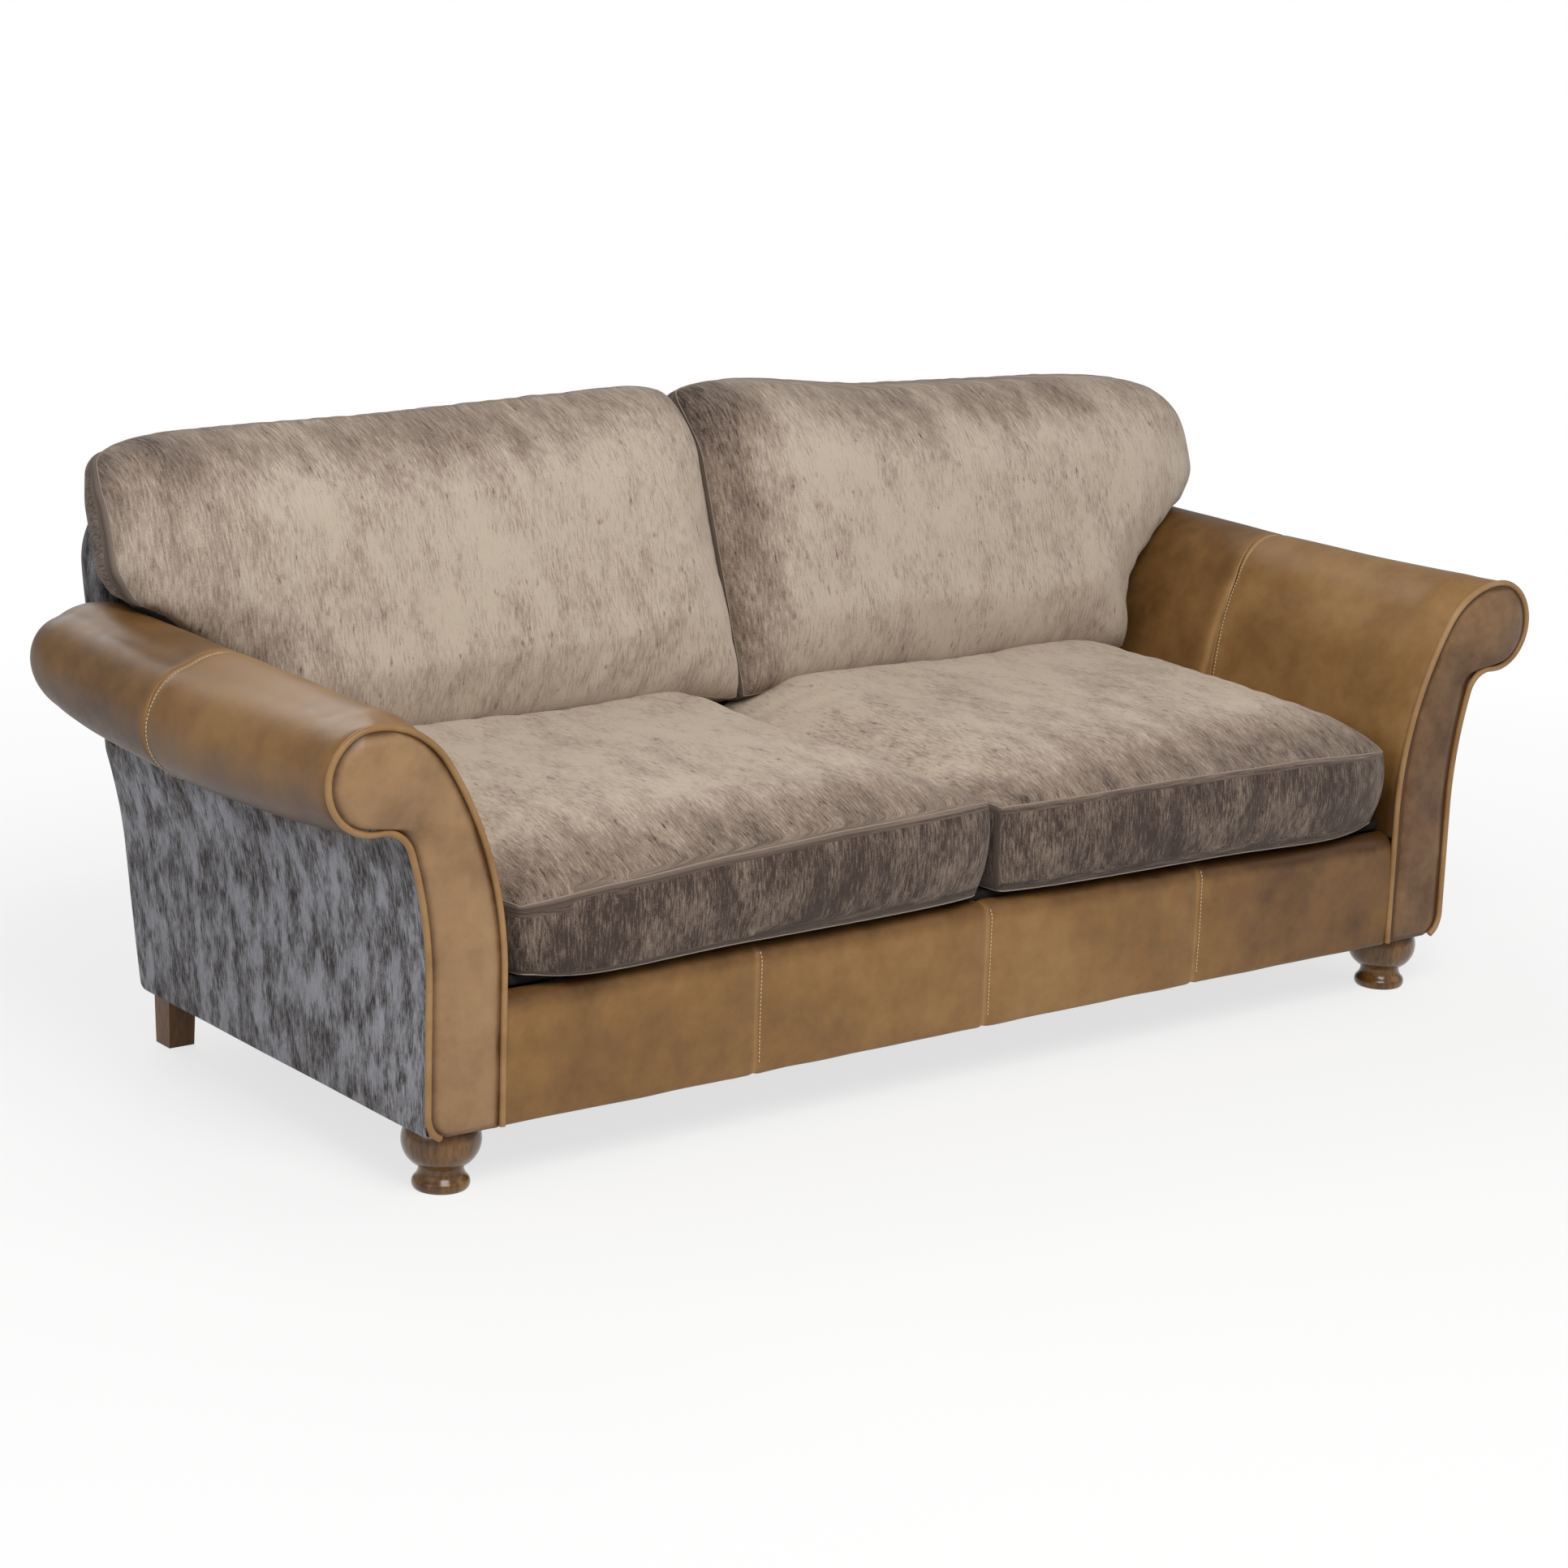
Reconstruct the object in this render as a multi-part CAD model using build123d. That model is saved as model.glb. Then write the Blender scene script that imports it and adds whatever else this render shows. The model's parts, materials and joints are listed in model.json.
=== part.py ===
from build123d import *
import os
from math import atan2, cos, degrees, radians, sin, sqrt, tan

# Scroll-arm sofa with two seat cushions and two back cushions. Millimetres, X along the sofa,
# -Y towards the sitter's feet, Z up from the floor. The model is drawn with Y = 0 on the front of
# the arms and moved at the end, so that the origin lies under the middle of its box.

# Overall sizes
OVERALL_WIDTH = 2160.0
ARM_WIDTH = 266.0
FOOT_HEIGHT = 90.0

# Arm section: upright inside face, flare, shoulder and scroll, neck, flared outside face
ARM_HEIGHT = 642.0
ARM_THICKNESS = 118.0
FLARE_START = 290.0
SHOULDER_RADIUS = 130.0
SCROLL_RADIUS = 70.0
NECK_RADIUS = 42.0
OUTER_FLARE_START = 290.0
OUTER_FLARE_RADIUS = 618.0
NECK_DROP = 176.0
ARM_TUCK = 262.0
OUTSIDE_FROM = 83.0
CROSS_SEAM = 458.0

# Back: a slab behind the arms that leans back, and a wedge pad in front of it
REAR_BASE = 816.0
RAKE = 11.5
BACK_RISE = 720.0
BACK_OVER_ARM = 134.0
BACK_THICKNESS = 75.0
BACK_TOP_CORNER = 120.0
BACK_EDGE = 40.0
SHELL_CORNER = 60.0
WEDGE_SETBACK = 118.0
WEDGE_DROP = 50.5

# Layers and clearances
LEATHER = 3.0
ARM_PAD = 22.0
PANEL = 6.0
BACK_COVER = 4.0
FACING = 6.0
PIPING = 8.0
GAP = 0.3

# Front border and seat platform
BORDER_SETBACK = 6.0
BORDER_DROP = 2.0
BORDER_ROUND = 24.0
BORDER_RETURN = 36.0
BORDER_PANELS = 4
PLATFORM = 15.0

# Timber
BOARD = 20.0
RAIL = 28.0
RAIL_HEIGHT = 164.5
SIDE_RAIL = 30.0
SIDE_RAIL_HEIGHT = 120.0
POST = 45.0
POST_DEPTH = 52.0
POST_SETBACK = 14.0
TOP_RAIL_WIDTH = 60.0
TOP_RAIL_HEIGHT = 40.0
TOP_RAIL_INWARD = 40.0
TACK_RAIL = 25.0
TACK_RAIL_HEIGHT = 40.0
BACK_RAIL_HEIGHT = 60.0
BACK_LOWER_RAIL = 230.0
STRETCHER_WIDTH = 40.0
STRETCHER_HEIGHT = 45.0
STRETCHER_PLACE = 270.0
BLOCK_LENGTH = 70.0
BLOCK_HEIGHT = 48.0
REAR_RAIL_SETBACK = 8.0
DUST_COVER = 1.5

# Springs, clips and webbing
SPRING_COUNT = 8
SPRING_WIRE = 4.0
SPRING_BEND = 16.0
SPRING_SPAN = 30.0
CLIP_LENGTH = 22.0
CLIP_WIDTH = 14.0
CLIP_PLATE = 2.0
STRAP_COUNT = 8
STRAP_WIDTH = 50.0
STRAP = 2.0

# Feet, legs and their bolts
FOOT_OUT = 56.0
FOOT_SETBACK = 65.0
FOOT_BASE = 38.5
FOOT_NECK = 30.0
FOOT_BULGE = 52.5
FOOT_COLLAR = 45.0
FOOT_RING_HEIGHT = 14.5
FOOT_NECK_HEIGHT = 30.0
FOOT_BULGE_HEIGHT = 61.0
FOOT_ROUND = 3.0
FOOT_LIP = 4.0
LEG_TOP = 44.0
LEG_BASE = 40.0
BOLT = 8.0
BOLT_IN_FOOT = 45.0
NUT_FLANGE = 20.0
NUT_BARREL = 12.0
NUT_DEPTH = 10.0
HOLE_CLEARANCE = 0.15

# Cushions
CUSHION_GAP = 3.0
ARM_CLEARANCE = 2.0
BACK_CLEARANCE = 2.0
COVER = 2.5
SEAT_FRONT = -6.0
SEAT_BULGE = 12.0
SEAT_SEAM = 128.0
SEAT_CROWN = 60.0
SEAT_CORNER = 42.0
SEAT_CAP_INSET = 210.0
SEAT_CAP_REAR = 120.0
SIDE_PULL = 5.0
CUSHION_FOOT_INSET = 12.0
BACK_SEAM = 140.0
BACK_CROWN = 38.0
BACK_HEIGHT = 466.0
BACK_CORNER = 30.0
BACK_TOP_ROUND = 70.0
EAR_OVER_ARM = 166.0
EAR_LIFT = 10.0
EAR_NOTCH_OUT = 54.0
EAR_ROUND = 38.0
BACK_CAP_INSET = 75.0
CAP_CORNER = 26.0
EAR_CAP_LOW = 15.0
EAR_CAP_RISE = 0.163
TOP_CAP_SHARE = 0.4076
BOXING_FULL = 0.14
BOXING_PULLED = 0.55
CROWN_STEPS = (0, 24, 48, 74)
BEND_SHARE = 0.3

# Places worked out from the sizes above
SEAT_WIDTH = OVERALL_WIDTH - 2 * ARM_WIDTH
SEAT_HALF = SEAT_WIDTH / 2
SHELL_HALF = SEAT_HALF + ARM_THICKNESS
SCROLL = Vector(OVERALL_WIDTH / 2 - SCROLL_RADIUS, ARM_HEIGHT - SCROLL_RADIUS)
SHOULDER = Vector(SCROLL.X, ARM_HEIGHT - SHOULDER_RADIUS)
NECK_SEAM = ARM_HEIGHT - NECK_DROP
FRAME_BASE = FOOT_HEIGHT + DUST_COVER
RAIL_TOP = FRAME_BASE + RAIL_HEIGHT
PADDED_FROM = PIPING + GAP
BOARD_FROM = FACING + GAP
BOARD_TO = BOARD_FROM + BOARD
PAD_INSET = LEATHER + GAP
BOARD_INSET = PAD_INSET + ARM_PAD + GAP
SIDE_RAIL_OUT = SHELL_HALF - PANEL - GAP
SIDE_RAIL_IN = SIDE_RAIL_OUT - SIDE_RAIL
POST_IN = SIDE_RAIL_IN - POST
ARM_END = BACK_THICKNESS + GAP
WIRE_HEIGHT = RAIL_TOP + CLIP_PLATE + SPRING_WIRE / 2
DECK_BASE = WIRE_HEIGHT + SPRING_WIRE / 2 + CLIP_PLATE + GAP
DECK_TOP = DECK_BASE + PLATFORM
BORDER_TOP = DECK_TOP - BORDER_DROP
SEAT_BASE = DECK_TOP + GAP
SEAT_TOP = SEAT_BASE + SEAT_SEAM + SEAT_CROWN
REAR = Plane((0, REAR_BASE, FOOT_HEIGHT), (1, 0, 0), (0, -cos(radians(RAKE)), sin(radians(RAKE))))
BACK_HALF_WIDTH = SEAT_HALF + BACK_OVER_ARM
BACK_TOP = REAR.from_local_coords(Vector(0, BACK_RISE, BACK_THICKNESS))
WEDGE_FRONT = REAR_BASE - WEDGE_SETBACK
WEDGE_TOP = BACK_TOP.Z - WEDGE_DROP
WEDGE_LEAN = degrees(atan2(BACK_TOP.Y - BACK_CLEARANCE - WEDGE_FRONT, BACK_TOP.Z - DECK_TOP))
REAR_SEAT_RAIL = WEDGE_FRONT - REAR_RAIL_SETBACK
FOOT_PLACE = SEAT_HALF + FOOT_OUT
FAR = 1500.0


def flare_radius():
    """Radius of the arm's inside flare, tangent to the upright face and to the shoulder."""
    across = SHOULDER.X - SEAT_HALF
    rise = ARM_HEIGHT - FLARE_START
    return (across**2 + rise**2 - 2 * rise * SHOULDER_RADIUS) / (2 * (across - SHOULDER_RADIUS))


def neck_centre():
    """Centre of the hollow under the scroll, tangent to the scroll and to the outside flare."""
    outer = Vector(SHELL_HALF + OUTER_FLARE_RADIUS, OUTER_FLARE_START)
    to_scroll = SCROLL_RADIUS + NECK_RADIUS
    to_outer = OUTER_FLARE_RADIUS - NECK_RADIUS
    way = outer - SCROLL
    along_way = (to_scroll**2 - to_outer**2 + way.length**2) / (2 * way.length)
    aside = sqrt(to_scroll**2 - along_way**2)
    unit = way.normalized()
    return SCROLL + unit * along_way - Vector(-unit.Y, unit.X) * aside


def heading(start, end):
    """Direction from one point to another, in degrees."""
    return degrees(atan2(end.Y - start.Y, end.X - start.X))


def arm_edges(inset, bottom):
    """The right arm's section from its inside foot over the scroll to its outside foot."""
    radius = flare_radius()
    flare = Vector(SEAT_HALF + radius, FLARE_START)
    outer = Vector(SHELL_HALF + OUTER_FLARE_RADIUS, OUTER_FLARE_START)
    neck = neck_centre()
    to_shoulder = heading(flare, SHOULDER)
    to_neck = heading(SCROLL, neck)
    to_wall = heading(outer, neck)
    from_scroll = heading(neck, SCROLL)
    inner_x = SEAT_HALF + inset
    outer_x = SHELL_HALF - inset
    return [
        Line((inner_x, bottom), (inner_x, FLARE_START)),
        CenterArc(flare, radius - inset, 180, to_shoulder - 180),
        CenterArc(SHOULDER, SHOULDER_RADIUS - inset, to_shoulder, 90 - to_shoulder),
        CenterArc(SCROLL, SCROLL_RADIUS - inset, 90, -90),
        CenterArc(SCROLL, SCROLL_RADIUS - inset, 0, to_neck),
        CenterArc(neck, NECK_RADIUS + inset, from_scroll, to_wall - from_scroll),
        CenterArc(outer, OUTER_FLARE_RADIUS + inset, to_wall, 180 - to_wall),
        Line((outer_x, OUTER_FLARE_START), (outer_x, bottom)),
    ]


def arm_face(inset, bottom):
    """The filled arm section."""
    edges = arm_edges(inset, bottom)
    return make_face(edges + [Line(edges[-1] @ 1, edges[0] @ 0)])


def arm_band(inset, thickness):
    """A layer of the arm section, open at the bottom."""
    return arm_face(inset, FOOT_HEIGHT) - arm_face(inset + thickness, FOOT_HEIGHT - 2 * thickness)


def rectangle(low, high):
    """A rectangle between two corners."""
    return make_face(Polyline(low, (high[0], low[1]), high, (low[0], high[1]), close=True))


def outside_zone(top):
    """The part of the arm section below the scroll and outside the arm's middle."""
    return rectangle((SEAT_HALF + OUTSIDE_FROM, -FAR), (FAR, top))


def along(face, start, end):
    """An XZ section extruded from one depth to another."""
    return Pos(0, start, 0) * extrude(Plane.XZ * face, amount=end - start, dir=(0, 1, 0))


def across(face, half_width):
    """A YZ section extruded to both sides of the middle."""
    return extrude(Plane.YZ * face, amount=half_width, both=True)


def block(low, high):
    """A box between two corners."""
    size = [b - a for a, b in zip(low, high)]
    return Pos(*[(a + b) / 2 for a, b in zip(low, high)]) * Box(*size)


def raked_block(low, high):
    """A box in the frame of the leaning back: across, up the slope, forward from the rear face."""
    return REAR * block(low, high)


def behind(depth):
    """All that lies behind a plane at this depth from the rear face."""
    return raked_block((-FAR, -FAR, -FAR), (FAR, FAR, depth))


def below(height):
    """All that lies below a height."""
    return block((-FAR, -FAR, -FAR), (FAR, FAR, height))


def rear_y(height, depth):
    """Y of the plane at this depth from the rear face."""
    return REAR_BASE + (height - FOOT_HEIGHT) * tan(radians(RAKE)) - depth / cos(radians(RAKE))


def rear_face(solid):
    """The flat face that looks squarely to the rear."""
    return max(solid.faces(), key=lambda f: -f.normal_at().dot(REAR.z_dir))


def wedge_y(height):
    """Y of the wedge pad's front face."""
    return WEDGE_FRONT + (height - DECK_TOP) * tan(radians(WEDGE_LEAN))


def pair(parts, name, shape):
    """Adds a right-hand piece and its mirror image on the left."""
    parts[name + "_right"] = shape
    parts[name + "_left"] = mirror(shape, about=Plane.YZ)


def both_sides(shapes):
    """A list of right-hand solids followed by their mirror images."""
    return shapes + [mirror(s, about=Plane.YZ) for s in shapes]


def arms(parts):
    """Boards, rails, padding and covers of both arms."""
    tucked = rectangle((0, -FAR), (FAR, ARM_TUCK))
    leather = arm_band(0, LEATHER) - outside_zone(NECK_SEAM) - tucked
    padding = arm_band(PAD_INSET, ARM_PAD) - outside_zone(NECK_SEAM) - tucked
    board = arm_face(BOARD_INSET, FRAME_BASE)
    rebate = arm_face(PIPING + GAP, FRAME_BASE) & outside_zone(NECK_SEAM - NECK_RADIUS)
    board = board + rebate
    cap_from = ARM_END + LEATHER
    board_from = cap_from + GAP
    rails_to = board_from + BOARD
    length = rear_y(ARM_HEIGHT, 0)

    seam = CROSS_SEAM
    pair(parts, "arm_cover_front", along(leather, PADDED_FROM, seam - GAP / 2))
    sleeve = along(leather, seam + GAP / 2, length) - behind(ARM_END)
    end = arm_face(0, FOOT_HEIGHT) - outside_zone(NECK_SEAM) - tucked
    cap = along(end, seam, length) - behind(ARM_END)
    cap = cap & raked_block((-FAR, -FAR, ARM_END), (FAR, FAR, cap_from))
    pair(parts, "arm_cover_rear", sleeve + cap)
    pair(parts, "arm_padding", along(padding, PADDED_FROM, length) - behind(cap_from + GAP))

    pair(parts, "arm_facing", along(arm_face(PIPING + GAP, FOOT_HEIGHT), 0, FACING))
    pair(parts, "arm_piping", along(arm_band(0, PIPING), 0, PIPING))

    front_board = along(board, BOARD_FROM, BOARD_TO)
    rear_board = along(board, BOARD_TO, length) - behind(board_from)
    rear_board = rear_board & raked_block((-FAR, -FAR, board_from), (FAR, FAR, rails_to))
    pair(parts, "arm_rear_board", rear_board - below(RAIL_TOP + GAP))

    low = (SCROLL.X - TOP_RAIL_INWARD, BOARD_TO, SCROLL.Y - TOP_RAIL_HEIGHT / 2)
    high = (low[0] + TOP_RAIL_WIDTH, length, low[2] + TOP_RAIL_HEIGHT)
    top_rail = block(low, high) - behind(rails_to)
    tack_x = SEAT_HALF + BOARD_INSET
    tack_low = (tack_x, BOARD_TO, ARM_TUCK)
    tack_high = (tack_x + TACK_RAIL, length, ARM_TUCK + TACK_RAIL_HEIGHT)
    tack_rail = block(tack_low, tack_high) - behind(rails_to)
    side_end = rear_y(FRAME_BASE, SHELL_CORNER)
    side_rail = block(
        (SIDE_RAIL_IN, BOARD_TO, FRAME_BASE),
        (SIDE_RAIL_OUT, side_end, FRAME_BASE + SIDE_RAIL_HEIGHT),
    )
    pair(parts, "arm_front_board", front_board)
    pair(parts, "arm_top_rail", top_rail)
    pair(parts, "arm_tack_rail", tack_rail)
    pair(parts, "side_rail", side_rail)


def lower_envelope(inset, spare):
    """The closed shape of the outside arms and lower back, rounded at its rear corners."""
    half = SHELL_HALF - inset
    top = NECK_SEAM - GAP + spare
    radius = OUTER_FLARE_RADIUS + inset
    centre_x = SHELL_HALF + OUTER_FLARE_RADIUS
    turn = degrees(atan2(top - OUTER_FLARE_START, sqrt(radius**2 - (top - OUTER_FLARE_START) ** 2)))
    wall = CenterArc((centre_x, OUTER_FLARE_START), radius, 180, -turn)
    upright = Line((half, FOOT_HEIGHT - spare), (half, OUTER_FLARE_START))
    floor = Line((0, FOOT_HEIGHT - spare), upright @ 0)
    roof = Line(wall @ 1, (0, top))
    middle = Line(roof @ 1, floor @ 0)
    right = make_face([floor, upright, wall, roof, middle])
    section = right + mirror(right, about=Plane.YZ)
    solid = along(section, PADDED_FROM - spare, rear_y(top, 0)) - behind(inset)
    corners = [e for e in rear_face(solid).edges() if abs(e.center().X) > half / 2]
    return fillet(corners, SHELL_CORNER - inset)


def back_envelope(inset, spare):
    """The closed shape of the leaning back, with its rear edges rounded."""
    half = BACK_HALF_WIDTH - inset
    top = BACK_RISE - inset
    outline = rectangle((-half, 0), (half, top))
    upper = outline.vertices().sort_by(Axis.Y)[-2:]
    outline = fillet(upper, BACK_TOP_CORNER - inset)
    solid = extrude(REAR.offset(inset) * outline, amount=BACK_THICKNESS - 2 * inset)
    edges = [e for e in rear_face(solid).edges() if e.center().Z > NECK_SEAM / 2]
    return fillet(edges, BACK_EDGE - inset) - below(NECK_SEAM + GAP - spare)


def outside(parts):
    """Outside arm panels, back cover, outside back panel and wedge pad."""
    spare = 4 * PANEL
    shell = lower_envelope(0, 0) - lower_envelope(PANEL, spare)
    split = SHELL_HALF - SHELL_CORNER - 2 * PANEL
    pair(parts, "outside_arm_panel", shell & block((split, -FAR, 0), (FAR, FAR, FAR)))

    panel_top = BACK_RISE - BACK_EDGE - 2 * PANEL
    panel = raked_block((GAP - split, -FAR, 0), (split - GAP, panel_top, PANEL))
    parts["outside_back_panel"] = panel - below(FOOT_HEIGHT)
    room = raked_block((-split, -FAR, -1), (split, panel_top + GAP, PANEL + GAP))
    parts["back_cover"] = back_envelope(0, 0) - back_envelope(BACK_COVER, spare) - room

    base = DECK_TOP + GAP
    depth = BACK_THICKNESS + GAP
    outline = Polyline(
        (wedge_y(base), base),
        (rear_y(base, depth), base),
        (rear_y(WEDGE_TOP, depth), WEDGE_TOP),
        (wedge_y(WEDGE_TOP), WEDGE_TOP),
        close=True,
    )
    parts["inside_back_pad"] = across(make_face(outline), SEAT_HALF - ARM_CLEARANCE)


def back_frame(parts):
    """Posts, rails and webbing of the back."""
    inner = POST_SETBACK + POST_DEPTH
    top = BACK_RISE - BACK_EDGE - 2 * BACK_COVER
    post = raked_block((POST_IN, -FAR, POST_SETBACK), (SIDE_RAIL_IN, top, inner)) - below(FRAME_BASE)
    rail_low = top - BACK_RAIL_HEIGHT
    parts["back_top_rail"] = raked_block((-POST_IN, rail_low, POST_SETBACK), (POST_IN, top, inner))
    lower_top = BACK_LOWER_RAIL + BACK_RAIL_HEIGHT
    parts["back_lower_rail"] = raked_block(
        (-POST_IN, BACK_LOWER_RAIL, POST_SETBACK), (POST_IN, lower_top, inner)
    )
    parts["back_centre_post"] = raked_block(
        (-POST / 2, lower_top, POST_SETBACK), (POST / 2, rail_low, inner)
    )
    rear_rail = raked_block((-POST_IN, -FAR, POST_SETBACK), (POST_IN, SIDE_RAIL_HEIGHT, inner))
    parts["rear_rail"] = rear_rail - below(FRAME_BASE)
    pitch = 2 * POST_IN / STRAP_COUNT
    straps = []
    for i in range(STRAP_COUNT):
        middle = (i + 0.5) * pitch - POST_IN
        low = (middle - STRAP_WIDTH / 2, BACK_LOWER_RAIL, inner)
        straps.append(raked_block(low, (middle + STRAP_WIDTH / 2, top, inner + STRAP)))
    parts["back_webbing"] = Compound(children=straps)
    return post


def seat_frame(parts):
    """Rails and stretchers of the seat, and the blocks that take the front feet."""
    for name, start in (("front_rail", BOARD_TO), ("rear_seat_rail", REAR_SEAT_RAIL)):
        low = (-SIDE_RAIL_IN, start, FRAME_BASE)
        parts[name] = block(low, (SIDE_RAIL_IN, start + RAIL, RAIL_TOP))
    stretcher = block(
        (STRETCHER_PLACE - STRETCHER_WIDTH / 2, BOARD_TO + RAIL + GAP, FRAME_BASE),
        (STRETCHER_PLACE + STRETCHER_WIDTH / 2, REAR_SEAT_RAIL - GAP, FRAME_BASE + STRETCHER_HEIGHT),
    )
    parts["seat_stretchers"] = Compound(children=both_sides([stretcher]))
    corner = block(
        (SIDE_RAIL_IN - BLOCK_LENGTH, BOARD_TO + RAIL, FRAME_BASE),
        (SIDE_RAIL_IN, BOARD_TO + RAIL + BLOCK_LENGTH, FRAME_BASE + BLOCK_HEIGHT),
    )
    return corner


def springs(parts):
    """Zigzag wire springs from the front rail to the rear seat rail, and their clips."""
    front = BOARD_TO + RAIL - CLIP_WIDTH
    rear = REAR_SEAT_RAIL + CLIP_WIDTH
    runs = 2 * round((rear - front) / (4 * SPRING_BEND)) + 1
    bend = (rear - front) / (2 * (runs - 1))
    half = SPRING_SPAN
    edges = []
    for i in range(runs):
        y = 2 * bend * i
        side = 1 if i % 2 == 0 else -1
        edges.append(Line((-side * half, y), (side * half, y)))
        if i < runs - 1:
            tip = (side * (half + bend), y + bend)
            edges.append(ThreePointArc((side * half, y), tip, (side * half, y + 2 * bend)))
    path = Wire(edges)
    wire = sweep(Plane(path @ 0, z_dir=(1, 0, 0)) * Circle(SPRING_WIRE / 2), path=path)
    ring = Circle(SPRING_WIRE / 2 + CLIP_PLATE) - Circle(SPRING_WIRE / 2 + HOLE_CLEARANCE)
    clip = extrude(Plane.YZ * ring, amount=CLIP_LENGTH / 2, both=True)
    pitch = SEAT_WIDTH / SPRING_COUNT
    wires, clips = [], []
    for i in range(SPRING_COUNT):
        middle = (i + 0.5) * pitch - SEAT_HALF
        wires.append(Pos(middle, front, WIRE_HEIGHT) * wire)
        for y in (front, rear):
            clips.append(Pos(middle, y, WIRE_HEIGHT) * clip - below(RAIL_TOP))
    parts["seat_springs"] = Compound(children=wires)
    parts["spring_clips"] = Compound(children=clips)


def border(parts):
    """Leather front border in sewn panels, its padding, and the seat platform behind it."""
    half = SEAT_HALF - GAP
    low = FOOT_HEIGHT

    def section(inset, base, end):
        front = BORDER_SETBACK + inset
        top = BORDER_TOP - inset
        radius = BORDER_ROUND - inset
        rise = Line((front, base), (front, top - radius))
        turn = CenterArc((front + radius, top - radius), radius, 180, -90)
        back = Line(turn @ 1, (end, top))
        drop = Line(back @ 1, (end, base))
        return make_face([rise, turn, back, drop, Line(drop @ 1, rise @ 0)])

    skin = section(0, low, BORDER_RETURN) - section(LEATHER, low - LEATHER, BORDER_RETURN + LEATHER)
    strip = across(skin, half)
    width = 2 * half / BORDER_PANELS
    panels = []
    for i in range(BORDER_PANELS):
        left = i * width - half
        window = block((left + GAP / 2, -FAR, 0), (left + width - GAP / 2, FAR, FAR))
        panels.append(strip & window)
    parts["front_border"] = Compound(children=panels)

    pad = section(LEATHER + GAP, FRAME_BASE, BORDER_RETURN)
    rail = rectangle((BOARD_TO, 0), (FAR, RAIL_TOP + GAP))
    parts["front_border_padding"] = across(pad - rail, half)
    parts["seat_platform"] = block(
        (-SEAT_HALF + ARM_CLEARANCE, BORDER_RETURN + GAP, DECK_BASE),
        (SEAT_HALF - ARM_CLEARANCE, REAR_SEAT_RAIL + RAIL, DECK_TOP),
    )


def front_foot():
    """Turned foot: a ringed base, a waist and a bun under the frame."""
    ring = FOOT_BASE - FOOT_ROUND
    waist = (FOOT_NECK + FOOT_ROUND / 4, (FOOT_RING_HEIGHT + FOOT_NECK_HEIGHT) / 2)
    lip = (FOOT_NECK + FOOT_LIP, FOOT_NECK_HEIGHT + FOOT_ROUND)
    outline = [
        Line((0, 0), (ring, 0)),
        ThreePointArc((ring, 0), (FOOT_BASE, FOOT_RING_HEIGHT / 2), (ring, FOOT_RING_HEIGHT)),
        ThreePointArc((ring, FOOT_RING_HEIGHT), waist, (FOOT_NECK, FOOT_NECK_HEIGHT)),
        Line((FOOT_NECK, FOOT_NECK_HEIGHT), lip),
        ThreePointArc(lip, (FOOT_BULGE, FOOT_BULGE_HEIGHT), (FOOT_COLLAR, FOOT_HEIGHT)),
        Line((FOOT_COLLAR, FOOT_HEIGHT), (0, FOOT_HEIGHT)),
        Line((0, FOOT_HEIGHT), (0, 0)),
    ]
    return revolve(Plane.XZ * make_face(outline), axis=Axis.Z)


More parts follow.
